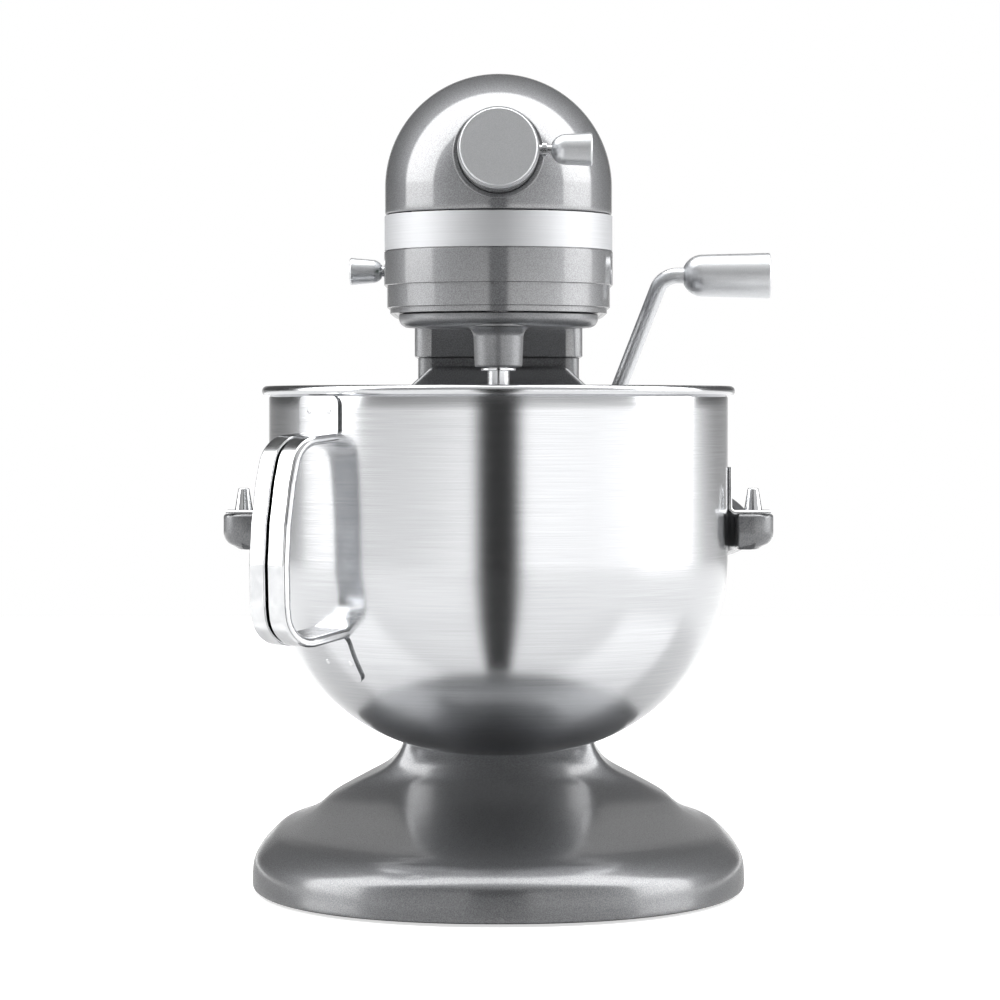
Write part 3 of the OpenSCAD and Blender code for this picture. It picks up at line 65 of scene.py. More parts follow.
def feed(tree, node, inputs):
    """Sets a node's inputs. A link is given as an output socket, or as a node for its first."""
    for name, value in inputs.items():
        if isinstance(value, bpy.types.Node):
            value = value.outputs[0]
        if isinstance(value, bpy.types.NodeSocket):
            tree.links.new(value, node.inputs[name])
        else:
            node.inputs[name].default_value = value
    return node


def add_node(tree, kind, inputs=None, **settings):
    """A new node with its settings and its inputs."""
    node = tree.nodes.new(kind)
    for name, value in settings.items():
        setattr(node, name, value)
    return feed(tree, node, inputs or {})


def worked_out(tree, known, *rows):
    """Adds values to the known ones and gives the last. A row holds the new value's name, what
    is done, and with what: names of known values, or numbers. FADE goes smoothly from 0 to 1,
    or between its last two numbers, while its value goes from the first to the second."""
    for name, what, *given in rows:
        given = [known[g] if isinstance(g, str) else g for g in given]
        if what == "FADE":
            labels = ("Value", "From Min", "From Max", "To Min", "To Max")
            made = add_node(tree, "ShaderNodeMapRange", dict(zip(labels, given)),
                            interpolation_type="SMOOTHSTEP")
        else:
            made = add_node(tree, "ShaderNodeMath", dict(enumerate(given)), operation=what)
        known[name] = made
    return made


def blank(name):
    """A new material and its empty tree."""
    made = bpy.data.materials.new(name)
    made.use_nodes = True
    made.node_tree.nodes.clear()
    return made, made.node_tree


def finish_of(name, **surface):
    """A material with one Principled surface; gives the material, its tree and that node."""
    made, tree = blank(name)
    shader = add_node(tree, "ShaderNodeBsdfPrincipled", {
        socket.replace("_", " "): value for socket, value in surface.items()})
    add_node(tree, "ShaderNodeOutputMaterial", {"Surface": shader})
    return made, tree, shader


def noise(tree, per_mm, detail):
    """Noise on Object coordinates with its own number of features per millimetre on each axis."""
    place = add_node(tree, "ShaderNodeTexCoord").outputs["Object"]
    scaled = add_node(tree, "ShaderNodeMapping", {
        "Vector": place, "Scale": [v / MM for v in per_mm]})
    return add_node(tree, "ShaderNodeTexNoise", {"Vector": scaled, "Scale": 1.0, "Detail": detail})


def between(tree, factor, low, high, start=0.35, end=0.65):
    """A colour or value that runs from low to high as factor goes from start to end."""
    ramp = add_node(tree, "ShaderNodeMapRange", {
        "Value": factor, "From Min": start, "From Max": end})
    if isinstance(low, str):
        return add_node(tree, "ShaderNodeMix", {0: ramp, 6: linear(low), 7: linear(high)},
                        data_type="RGBA").outputs[2]
    return feed(tree, ramp, {"To Min": low, "To Max": high})


def flake_lacquer(name, dark, light, **surface):
    """Die-cast zinc under a metallic lacquer: aluminium flakes in the colour coat glint one by
    one, and the thick clear coat over them is glossy, so lights show in it with crisp edges.
    Real flakes are 0.05 mm; they are drawn 0.4 mm across so that they show."""
    made, tree, shader = finish_of(name, **surface)
    flakes = noise(tree, (2.2, 2.2, 2.2), 0.0)
    feed(tree, shader, {"Base Color": between(tree, flakes, dark, light, 0.3, 0.72),
                        "Roughness": between(tree, flakes, 0.5, 0.42)})
    return made


def grained(name, dark, light, per_mm, depth_mm, rough, detail, relief, **surface):
    """A surface whose colour, sheen and relief all follow one grain."""
    made, tree, shader = finish_of(name, **surface)
    grain = noise(tree, per_mm, detail)
    raised = add_node(tree, "ShaderNodeBump", {
        "Height": grain, "Distance": depth_mm * MM, "Strength": relief})
    feed(tree, shader, {"Base Color": between(tree, grain, dark, light),
                        "Roughness": between(tree, grain, *rough), "Normal": raised})
    return made, tree, shader


def brushed_steel(name, dark, light, rough, **surface):
    """Stainless steel brushed level: long hair lines run along the stroke and spread light
    across it, up and down. The grit's 0.05 mm lines are drawn 0.3 mm apart so that they show."""
    made, tree, shader = grained(name, dark, light, (0.02, 0.02, 3.6), 0.002, rough, 3.0, 0.5,
                                 Metallic=1.0, **surface)
    feed(tree, shader, {"Tangent": add_node(tree, "ShaderNodeCombineXYZ", {"Z": 1.0})})
    return made


def plain_metal(*look):
    """A bare metal whose grain is even in all directions or follows a tool."""
    return grained(*look, 3.0, 0.3, Metallic=1.0)[0]


def moulded(*look, **surface):
    """A moulded plastic or rubber with the fine leather of its tool."""
    return grained(*look, 4.0, 0.6, **surface)[0]


FINISH = {
    # Silver flake lacquer of the head
    "head_paint": flake_lacquer(
        "silver_flake_lacquer", "#696a6c", "#848587",
        Metallic=0.8, Coat_Weight=1.0, Coat_IOR=1.8, Coat_Roughness=0.04),
    # The same lacquer, its colour made a shade darker on the foot and column: painted shade for
    # the shadow of the bowl and head over them
    "stand_paint": flake_lacquer(
        "painted_shade_flake_lacquer", "#5c5d5f", "#77787a",
        Metallic=0.85, Coat_Weight=1.0, Coat_IOR=1.6, Coat_Roughness=0.17),
    # Stainless strip brushed along its length
    "band_steel": brushed_steel(
        "brushed_stainless_strip", "#c0c1c3", "#cacbcd", (0.62, 0.68), Anisotropic=0.3),
    # Spun stainless, brushed round and round on the lathe
    "bowl_steel": brushed_steel(
        "brushed_stainless_bowl", "#c4c5c7", "#d2d3d5", (0.185, 0.205), Anisotropic=0.6),
    # Stainless strap, buffed to a near mirror with faint wiping marks
    "polished_steel": plain_metal(
        "polished_stainless", "#d4d5d7", "#e2e3e4", (0.12, 0.12, 0.12), 0.004, (0.14, 0.19)),
    # Zinc knobs and the lever's rod, bead blasted and nickel plated: an even satin sheen
    "satin_metal": plain_metal(
        "satin_nickel", "#ccced0", "#d8d9db", (2.5, 2.5, 2.5), 0.008, (0.36, 0.42)),
    # Cast aluminium, tumbled smooth under a satin clear lacquer
    "cast_alloy": flake_lacquer(
        "lacquered_cast_aluminium", "#828385", "#959698",
        Metallic=0.8, Coat_Weight=0.6, Coat_Roughness=0.2),
    # Turned steel, with the tool's rings across the axis
    "machined_steel": plain_metal(
        "turned_steel", "#b6b7b9", "#d6d7d9", (0.05, 0.05, 3.0), 0.006, (0.16, 0.28)),
    # Stacked silicon-steel laminations of the motor, edges 0.5 mm apart
    "core_steel": plain_metal(
        "laminated_core", "#5c5d60", "#86878a", (0.05, 2.0, 0.05), 0.05, (0.4, 0.55)),
    # Sintered bronze, a dull warm yellow
    "brass": plain_metal(
        "sintered_bronze", "#a07f45", "#c29f5f", (1.5, 1.5, 1.5), 0.01, (0.32, 0.45)),
    # Nylon of the worm wheel, milky and slightly waxy
    "wheel_plastic": moulded(
        "natural_nylon", "#cfc8b4", "#ddd7c6", (0.6, 0.6, 0.6), 0.01, (0.4, 0.5), IOR=1.53),
    # Glass-filled black nylon of the fan and brush holders
    "black_plastic": moulded(
        "black_nylon", "#161617", "#232325", (1.2, 1.2, 1.2), 0.02, (0.42, 0.55), IOR=1.53),
    # Glass-epoxy circuit board under green solder mask
    "board": moulded(
        "solder_mask_green", "#0d3a24", "#155236", (0.5, 0.5, 3.0), 0.02, (0.25, 0.35),
        IOR=1.55),
    # Moulded rubber of the feet and the cord gland
    "black_rubber": moulded(
        "black_rubber", "#1b1b1c", "#29292b", (1.5, 1.5, 1.5), 0.04, (0.62, 0.78), IOR=1.52),
}


# ------ meshes

def build_mesh(points, faces):
    """A mesh in the frame's metres from points in millimetres about the planetary axis."""
    placed = np.asarray(points, float).reshape(-1, 3) * MM + (0, AXIS_Y, 0)
    mesh = bpy.data.meshes.new("shape")
    mesh.from_pydata([tuple(p) for p in placed], [], [tuple(f) for f in faces])
    mesh.validate()
    return mesh


def linked(name, data):
    """An object in the scene for a mesh, curve or camera."""
    made = bpy.data.objects.new(name, data)
    bpy.context.scene.collection.objects.link(made)
    return made


def applied(holder):
    """The plain mesh that an object shows with its modifiers; the object itself goes."""
    shown = holder.evaluated_get(bpy.context.evaluated_depsgraph_get())
    mesh = bpy.data.meshes.new_from_object(shown)
    bpy.data.objects.remove(holder)
    return mesh


def tidy(mesh, inside=None):
    """Merges doubles and turns the faces outwards; an open sheet is turned away from inside."""
    form = bmesh.new()
    form.from_mesh(mesh)
    bmesh.ops.remove_doubles(form, verts=form.verts, dist=1e-6)
    bmesh.ops.dissolve_degenerate(form, edges=form.edges, dist=1e-7)
    bmesh.ops.recalc_face_normals(form, faces=form.faces)
    if inside is not None:
        middle = Vector(inside) * MM + Vector((0, AXIS_Y, 0))
        away = sum(f.normal.dot(f.calc_center_median() - middle) * f.calc_area()
                   for f in form.faces)
        if away < 0:
            bmesh.ops.reverse_faces(form, faces=form.faces)
    form.to_mesh(mesh)
    form.free()
    return mesh


def grid(points, closed_u=False, closed_v=False, caps=False, more=()):
    """A mesh through a grid of points: rows of equal length, each row a ring if closed_v. More
    faces are given by their points' numbers."""
    points = np.asarray(points, float)
    rows, columns = points.shape[:2]
    faces = []
    for i in range(rows if closed_u else rows - 1):
        for j in range(columns if closed_v else columns - 1):
            a, b = i * columns, (i + 1) % rows * columns
            k = (j + 1) % columns
            faces.append((a + j, a + k, b + k, b + j))
    if caps:
        last = range((rows - 1) * columns, rows * columns)
        faces += [tuple(range(columns)), tuple(last)[::-1]]
    return build_mesh(points, faces + list(more))


def with_modifiers(mesh, *steps):
    """The mesh after modifiers, each given as (kind, settings)."""
    holder = linked("holder", mesh)
    for kind, settings in steps:
        modifier = holder.modifiers.new(kind.lower(), kind)
        for name, value in settings.items():
            setattr(modifier, name, value)
    return applied(holder)


def walled(mesh, thickness, edge, inside=(0, 60, 340)):
    """A sheet given a wall inwards and rounded along its sharp edges."""
    return with_modifiers(
        tidy(mesh, inside),
        ("SOLIDIFY", {"thickness": thickness * MM, "use_even_offset": True}),
        ("BEVEL", {"width": edge * MM, "segments": 3, "limit_method": "ANGLE",
                   "angle_limit": math.radians(50)}))


def less(mesh, *cutters):
    """The mesh with each cutter's volume taken away."""
    tools = [linked("cutter", cutter) for cutter in cutters]
    result = with_modifiers(mesh, *[
        ("BOOLEAN", {"object": tool, "operation": "DIFFERENCE", "solver": "EXACT"})
        for tool in tools])
    for tool in tools:
        bpy.data.objects.remove(tool)
    return result


def joined(*meshes):
    """One mesh of several."""
    form = bmesh.new()
    for mesh in meshes:
        form.from_mesh(mesh)
    whole = bpy.data.meshes.new("joined")
    form.to_mesh(whole)
    form.free()
    return whole


def mirrored(mesh):
    """A copy on the other side of the middle plane, faces outwards again."""
    other = mesh.copy()
    other.transform(Matrix.Scale(-1, 4, (1, 0, 0)))
    other.flip_normals()
    return other


def piece(name, mesh, slot, body, node=None, sharp=35):
    """A finished piece with its finish's slot, the body it rides on and the CAD node it stands
    for. Edges that turn by more than sharp degrees stay sharp."""
    mesh.materials.clear()
    mesh.materials.append(FINISH[slot])
    mesh.polygons.foreach_set("material_index", [0] * len(mesh.polygons))
    mesh.shade_smooth()
    mesh.set_sharp_from_angle(angle=math.radians(sharp))
    # flat faces stay flat beside their rounded edges
    mesh = with_modifiers(mesh, ("WEIGHTED_NORMAL", {"keep_sharp": True}))
    mesh.name = name
    made = linked(name, mesh)
    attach(made, body)
    if node:
        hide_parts(node)


# ------ geometry nodes

def node_tree(name, inputs):
    """An empty geometry tree with named inputs and a finish; gives the tree and its input's
    sockets."""
    tree = bpy.data.node_groups.new(name, "GeometryNodeTree")
    for label, kind in inputs + [("Finish", "Material")]:
        tree.interface.new_socket(label, in_out="INPUT", socket_type="NodeSocket" + kind)
    tree.interface.new_socket("Piece", in_out="OUTPUT", socket_type="NodeSocketGeometry")
    return tree, add_node(tree, "NodeGroupInput").outputs


def end_tree(tree, geometry, finish):
    """The tree's last nodes: real geometry in its finish."""
    real = add_node(tree, "GeometryNodeRealizeInstances", {"Geometry": geometry})
    dressed = add_node(tree, "GeometryNodeSetMaterial", {"Geometry": real, "Material": finish})
    add_node(tree, "NodeGroupOutput", {"Piece": dressed})
    return tree


def lathe_tree():
    """Turns a profile, drawn as (radius, 0, height) points in order, round the Z axis. The
    last row of points lies on the first."""
    tree, given = node_tree("turned on a lathe", [("Profile", "Geometry"), ("Steps round", "Int")])
    count = add_node(tree, "GeometryNodeAttributeDomainSize",
                     {"Geometry": given["Profile"]}).outputs["Point Count"]
    known = {"steps": given["Steps round"], "count": count,
             "index": add_node(tree, "GeometryNodeInputIndex")}
    angle = worked_out(
        tree, known,
        ("rows", "ADD", "steps", 1.0),
        ("step", "MODULO", "index", "count"),
        ("share", "DIVIDE", "index", "count"),
        ("turn", "FLOOR", "share"),
        ("part", "DIVIDE", "turn", "steps"),
        ("angle", "MULTIPLY", "part", 2 * math.pi))
    sheet = add_node(tree, "GeometryNodeMeshGrid",
                     {"Vertices X": known["rows"], "Vertices Y": count})
    point = add_node(tree, "GeometryNodeSampleIndex", {"Geometry": given["Profile"]},
                     data_type="FLOAT_VECTOR")
    feed(tree, point, {"Value": add_node(tree, "GeometryNodeInputPosition"),
                       "Index": known["step"]})
    turned = add_node(tree, "ShaderNodeVectorRotate", {"Vector": point, "Angle": angle},
                      rotation_type="Z_AXIS")
    moved = add_node(tree, "GeometryNodeSetPosition", {"Geometry": sheet, "Position": turned})
    return end_tree(tree, moved, given["Finish"])


def studs_tree():
    """Small round heads at points, each along its point's own facing direction."""
    tree, given = node_tree("round heads at points", [
        ("Points", "Geometry"), ("Radius", "Float"), ("Height", "Float")])
    ball = add_node(tree, "GeometryNodeMeshUVSphere", {"Segments": 20, "Rings": 10})
    size = add_node(tree, "ShaderNodeCombineXYZ", {
        "X": given["Radius"], "Y": given["Radius"], "Z": given["Height"]})
    facing = add_node(tree, "GeometryNodeInputNamedAttribute", {"Name": "facing"},
                      data_type="FLOAT_VECTOR")
    turned = add_node(tree, "FunctionNodeAlignRotationToVector", {"Vector": facing}, axis="Z")
    placed = add_node(tree, "GeometryNodeInstanceOnPoints", {
        "Points": given["Points"], "Instance": ball,
        "Rotation": turned, "Scale": size})
    return end_tree(tree, placed, given["Finish"])


def slots_tree():
    """A row of equal upright bars, from the first to the right: the cutter of a row of vents."""
    tree, given = node_tree("row of bars", [
        ("Start", "Geometry"), ("Count", "Int"), ("Pitch", "Float"), ("Bar", "Vector"),
        ("First", "Vector")])
    step = add_node(tree, "ShaderNodeCombineXYZ", {"X": given["Pitch"]})
    line = add_node(tree, "GeometryNodeMeshLine", {
        "Count": given["Count"], "Start Location": given["First"], "Offset": step})
    bar = add_node(tree, "GeometryNodeMeshCube", {"Size": given["Bar"]})
    placed = add_node(tree, "GeometryNodeInstanceOnPoints", {"Points": line, "Instance": bar})
    return end_tree(tree, placed, given["Finish"])


LATHE, STUDS, SLOTS = lathe_tree(), studs_tree(), slots_tree()


def grown(tree, mesh, **inputs):
    """What a geometry tree makes of a mesh, as a plain mesh."""
    holder = linked("grown", mesh)
    modifier = holder.modifiers.new("grown", "NODES")
    modifier.node_group = tree
    sockets = {s.name: s.identifier for s in tree.interface.items_tree if s.in_out == "INPUT"}
    for name, value in inputs.items():
        modifier[sockets[name.replace("_", " ")]] = value
    return applied(holder)


UP = Matrix.Identity(3)
HERE = (0, 0, 0)
ALONG_X = Matrix(((0, 0, 1), (1, 0, 0), (0, 1, 0)))
ALONG_Y = Matrix(((1, 0, 0), (0, 0, 1), (0, -1, 0)))


def turned(profile, steps=96, place=HERE, axis=UP):
    """A turned form: a closed profile of (radius, height) about an axis through place. Its
    seam is closed here, and piece() gives it its own finish."""
    mesh = bpy.data.meshes.new("profile")
    mesh.from_pydata([(r * MM, 0, h * MM) for r, h in profile], [], [])
    form = grown(LATHE, mesh, Steps_round=steps, Finish=FINISH["machined_steel"])
    spot = Vector(place) * MM + Vector((0, AXIS_Y, 0))
    form.transform(Matrix.Translation(spot) @ axis.to_4x4())
    return tidy(form)


def drill(radius, start, end, steps, place, axis=UP):
    """The cutter of a round hole from start to end along an axis through place."""
    return turned([(0, start), (radius, start), (radius, end), (0, end)], steps, place, axis)


def arc(centre, radius, start, end, steps=8):
    """Points of an arc in the plane, angles in degrees."""
    angles = np.radians(np.linspace(start, end, steps + 1))
    return [(centre[0] + radius * math.cos(a), centre[1] + radius * math.sin(a)) for a in angles]


def rounded(low, high, radius, steps):
    """A rectangle with rounded corners, from its lower right corner round to the left."""
    right, left, bottom, top = high[0] - radius, low[0] + radius, low[1] + radius, high[1] - radius
    ring = []
    for centre, start in (((right, bottom), -90), ((right, top), 0), ((left, top), 90),
                          ((left, bottom), 180)):
        ring += arc(centre, radius, start, start + 90, steps)
    return ring


def solid_profile(points, radii):
    """A profile through corner points, each corner rounded by its radius. The first and last
    points stay sharp."""
    line = [points[0]]
    for i in range(1, len(points) - 1):
        before, here, after = (np.array(points[k], float) for k in (i - 1, i, i + 1))
        one, two = before - here, after - here
        one_long, two_long = np.linalg.norm(one), np.linalg.norm(two)
        reach = min(radii[i], 0.45 * one_long, 0.45 * two_long)
        start, end = here + one / one_long * reach, here + two / two_long * reach
        for t in np.linspace(0, 1, 6):
            line.append(tuple((1 - t) ** 2 * start + 2 * t * (1 - t) * here + t * t * end))
    return line + [points[-1]]


def block(low, high):
    """A plain box, as a cutter."""
    (x, y, z), (far_x, far_y, far_z) = low, high
    return tidy(grid([[(x, y, h), (far_x, y, h), (far_x, far_y, h), (x, far_y, h)]
                      for h in (z, far_z)], closed_v=True, caps=True))


def smooth_path(points, per_span):
    """A smooth line through points (Catmull-Rom)."""
    points = [np.array(p, float) for p in points]
    ends = [2 * points[0] - points[1]] + points + [2 * points[-1] - points[-2]]
    line = []
    for i in range(1, len(ends) - 2):
        a, b, c, d = ends[i - 1:i + 3]
        for t in np.arange(per_span) / per_span:
            line.append(0.5 * (2 * b + (c - a) * t + (2 * a - 5 * b + 4 * c - d) * t ** 2
                               + (3 * b - a - 3 * c + d) * t ** 3))
    return np.array(line + [points[-1]])


def rounded_bend(points, radius, steps):
    """A line through points with its corners bent to a radius."""
    points = [np.array(p, float) for p in points]
    line = [points[0]]
    for before, here, after in zip(points, points[1:], points[2:]):
        one = (before - here) / np.linalg.norm(before - here)
        two = (after - here) / np.linalg.norm(after - here)
        half = math.acos(np.clip(one @ two, -1, 1)) / 2
        reach = radius / math.tan(half)
        middle = here + (one + two) / np.linalg.norm(one + two) * radius / math.sin(half)
        start, end = here + one * reach - middle, here + two * reach - middle
        sweep = math.acos(np.clip(start @ end / radius ** 2, -1, 1))
        for t in np.linspace(0, 1, steps + 1):
            line.append(middle + (math.sin((1 - t) * sweep) * start + math.sin(t * sweep) * end)
                        / math.sin(sweep))
    return np.array(line + [points[-1]])


def swept(line, section, side):
    """A closed section, as (along side, across it) pairs, swept along a flat line whose plane
    has side as its normal."""
    line, side = np.asarray(line, float), np.array(side, float)
    forward = np.gradient(line, axis=0)
    forward /= np.linalg.norm(forward, axis=1)[:, None]
    across = np.cross(side, forward)
    rings = [[p + side * u + n * v for u, v in section] for p, n in zip(line, across)]
    return tidy(grid(rings, closed_v=True, caps=True))


# ------ foot

# Height, half width, front, widest place, rear, squareness of the front and of the rear
FOOT = np.array([
    [1.5, 126.3, -141.2, 30, 227.8, 2.2, 3], [3.5, 127.5, -142.4, 30, 229, 2.2, 3],
    [14, 127, -142, 32, 229, 2.2, 3], [20, 124.3, -140.6, 36, 228, 2.2, 2.9],
    [26, 118.6, -133, 45, 226.5, 2.15, 2.7], [28.6, 114.6, -121, 52, 225.8, 2.1, 2.6],
    [30.5, 108, -102, 60, 225, 2.1, 2.5], [33.5, 99.5, -44, 80, 224, 2.1, 2.5],
    [36, 95, 14, 96, 223.5, 2.15, 2.6], [39, 90, 66, 114, 223, 2.3, 2.8],
    [44, 78, 103, 134, 222, 3, 3.4], [51, 62.5, 119, 148, 221, 4.5, 4.6],
    [58, 55.5, 126.5, 158, 219, 6.5, 6], [66, 52, 130, 165, 217, 8, 7.5],
    [80, 48, 132, 170, 215, 10, 9], [98, 44.1, 133, 173, 213, 12, 12]])
FOOT_WALL = 4.5


def foot_ring(station, steps=176):
    """The foot's outline at a station."""
    z, half, front, widest, rear, front_n, rear_n = station
    ring = []
    for a in np.linspace(0, 2 * math.pi, steps, endpoint=False):
        back = math.sin(a) > 0
        n = rear_n if back else front_n
        across, along = (math.copysign(abs(v) ** (2 / n), v) for v in (math.cos(a), math.sin(a)))
        reach = rear - widest if back else widest - front
        ring.append((half * across, widest + reach * along, z))
    return ring


def within(station):
    """The same station of the foot's inside, a wall further in; the lip keeps its height."""
    lower = FOOT_WALL if station[0] > 10 else 0
    return station - (lower, FOOT_WALL, -FOOT_WALL, 0, FOOT_WALL, 0, 0)


def make_foot():
    stations = smooth_path(FOOT, 5)
    rings = [foot_ring(s) for s in stations] + [foot_ring(within(s)) for s in stations[::-3]]
    # the smooth line runs past its stations by a tenth, so it is held inside the foot's box
    half, front, rear, top = FOOT[:, 1].max(), FOOT[:, 2].min(), FOOT[:, 4].max(), FOOT[-1, 0]
    points = np.clip(np.array(rings), (-half, front, 0), (half, rear, top))
    piece("foot", tidy(grid(points, closed_u=True, closed_v=True)), "stand_paint", "stand",
          "base_foot", sharp=60)


make_foot()


# ------ column

COLUMN_HALF, COLUMN_FRONT, COLUMN_REAR, COLUMN_R = 44.1, 133, 213, 8
COLUMN_LOW, COLUMN_TOP, COLUMN_WALL = 98, 276, 4
# Slots that the yoke's two lugs slide in, and the height stop's screw
LUGS_X, LUG_HALF, LUG_PLAY, LUG_SLOT_Z = (-20, 20), 4, 1, (174, 237)
STOP_Z, STOP_R = 253, 2.6
# The lever's shaft, through the column's right side
LEVER_Y, LEVER_Z, BUSH_R = 153.0, 215.0, 8.6


def column_ring(inset, z):
    """The column's outline, moved in by a distance, at a height."""
    half = COLUMN_HALF - inset
    ring = rounded((-half, COLUMN_FRONT + inset), (half, COLUMN_REAR - inset),
                   COLUMN_R - inset, 10)
    return [(x, y, z) for x, y in ring]


def tube(low, high, outer, wall, edge):
    """The column's outline as a tube with rounded ends; outer moves it in."""
    turns = np.radians([0, 30, 60, 90])
    rings = [column_ring(outer + edge * (1 - math.sin(a)), end + up * edge * (1 - math.cos(a)))
             for end, up in ((low, 1), (high, -1)) for a in turns[::up]]
    rings += [column_ring(outer + wall, high), column_ring(outer + wall, low)]
    return tidy(grid(rings, closed_u=True, closed_v=True))


def make_column():
    shell = tube(COLUMN_LOW, COLUMN_TOP, 0, COLUMN_WALL, 0.6)
    half = LUG_HALF + LUG_PLAY
    low, high = LUG_SLOT_Z
    cuts = [block((x - half, COLUMN_FRONT - 1, low),
                  (x + half, COLUMN_FRONT + COLUMN_WALL + 1, high)) for x in LUGS_X]
    cuts.append(drill(BUSH_R, 0, 8, 48, (COLUMN_HALF - 6, LEVER_Y, LEVER_Z), ALONG_X))
    cuts.append(drill(STOP_R, 0, 8, 32, (0, COLUMN_FRONT - 2, STOP_Z), ALONG_Y))
    piece("column_shell", less(shell, *cuts), "stand_paint", "stand", "column")


make_column()


# ------ head

# In plan: half the width, the nose's length, where the sides start to close in, the seam of
# the rear cover, the rear end, and half the width there
HALF_W, NOSE, TAPER, SEAM, REAR, REAR_HALF = 58.7, 65.0, 70.0, 190.0, 225.0, 47.0
# From the side: underside, step, the band's lower and upper edge, and where the arch springs
HEAD_LOW, STEP_Z, BAND_Z, BAND_TOP, ARCH_Z = 296.5, 311.0, 328.0, 347.0, 361.0
ARCH_INSET = 0.7
HUB_Z, NECK_HOLE = 374.5, 20.1
SPEED_Y, SPEED_Z = 80, 321


def half_width(y):
    """Half of the head's width at a distance behind the planetary axis."""
    if y < 0:
        return HALF_W * math.sqrt(max(0.0, 1 - (y / NOSE) ** 2))
    if y < TAPER:
        return HALF_W
    narrow = (HALF_W - REAR_HALF) * 0.5
    if y < SEAM:
        return HALF_W - narrow * (1 - math.cos(math.pi / 2 * (y - TAPER) / (SEAM - TAPER)))
    t = (y - SEAM) / (REAR - SEAM)
    return (HALF_W - narrow) * max(0.0, 1 - t ** 3.2) ** (1 / 2.6)


def half_outline(inset):
    """The right half of the head's plan from the rear seam to the tip of the nose."""
    ys = list(np.linspace(SEAM, TAPER, 24)) + [50, 25]
    ys += [-NOSE * math.sin(a) for a in np.linspace(0, math.pi / 2, 44)]
    line = np.array([(half_width(y), y) for y in ys])
    forward = np.gradient(line, axis=0)
    forward[-1] = (-1, 0)
    forward /= np.linalg.norm(forward, axis=1)[:, None]
    return line + np.column_stack([forward[:, 1], -forward[:, 0]]) * inset


def whole_outline(inset, z):
    """The head's plan from one end of the rear seam round the nose to the other."""
    right = half_outline(inset)
    left = right[-2::-1] * (-1, 1)
    return [(x, y, z) for x, y in np.vstack([right, left])]


def arch_rows(half, low, steps=80):
    """For each point of a half outline, the head's section: up one side, over and down."""
    rows = []
    for w, y in half:
        up = [(w, y, z) for z in np.linspace(low, ARCH_Z, 6)[:-1]]
        over = [(w * math.cos(a), y, ARCH_Z + w * math.sin(a))
                for a in np.linspace(0, math.pi, steps)]
        rows.append(up + over + [(-x, py, pz) for x, py, pz in up[::-1]])
    return rows


def make_upper_housing():
    shell = walled(grid(arch_rows(half_outline(ARCH_INSET), BAND_TOP)), 3, 0.9)
    hole = drill(NECK_HOLE, -75, 0, 96, (0, 0, HUB_Z), ALONG_Y)
    piece("upper_housing", less(shell, hole), "head_paint", "stand", "head_upper_housing")
    ring = solid_profile([(NECK_HOLE, -45), (NECK_HOLE, -67.6), (22.8, -68.2), (22.8, -45)],
                         [0, 0.5, 1.4, 0])
    piece("hub_ring", turned(ring + ring[:1], 128, (0, 0, HUB_Z), ALONG_Y), "head_paint", "stand")


def make_underside():
    """The underside of the head, from the outline in to the mouth over the dish."""
    outer = [(x, y) for x, y, _ in whole_outline(3.4, 0)]
    sheet = bpy.data.curves.new("underside", "CURVE")
    sheet.dimensions, sheet.fill_mode, sheet.extrude = "2D", "BOTH", 1.2 * MM
    for loop in (outer, arc((0, 0), 51.4, -90, 270, len(outer) - 1)[:-1]):
        spline = sheet.splines.new("POLY")
        spline.points.add(len(loop) - 1)
        for point, (x, y) in zip(spline.points, loop):
            point.co = (x * MM, y * MM + AXIS_Y, 0, 1)
        spline.use_cyclic_u = True
    plate = applied(linked("underside", sheet))
    plate.transform(Matrix.Translation((0, 0, (HEAD_LOW + 1.7) * MM)))
    piece("head_underside", tidy(plate), "head_paint", "stand")


def make_lower_housing():
    steps = [(5.2, HEAD_LOW), (3.2, HEAD_LOW), (3.2, HEAD_LOW + 3), (1.7, HEAD_LOW + 3),
             (1.7, STEP_Z), (0.2, STEP_Z), (0.2, BAND_Z), (1.6, BAND_Z), (1.6, BAND_TOP - 0.4)]
    shell = walled(grid([whole_outline(inset, z) for inset, z in steps]), 2.4, 0.7)
    slot = block((-80, 36, SPEED_Z - 3.8), (-30, 84, SPEED_Z + 3.8))
    piece("lower_housing", less(shell, slot), "head_paint", "stand", "head_lower_housing")
    make_underside()
    piece("collar", tube(COLUMN_TOP, HEAD_LOW + 0.5, -1.9, 5, 0.9), "head_paint", "stand")


def make_band():
    low, high, out, back, r = BAND_Z + 0.5, BAND_TOP - 0.5, 0.4, 1.4, 0.35
    section = [(out, low + r), (out, high - r), (out + 0.1, high - 0.1), (out + r, high),
               (back, high), (back, low), (out + r, low), (out + 0.1, low + 0.1)]
    rows = np.array([whole_outline(inset, z) for inset, z in section]).transpose(1, 0, 2)
    piece("trim_strip", tidy(grid(rows, closed_v=True, caps=True)), "band_steel", "stand",
          "trim_band", sharp=40)


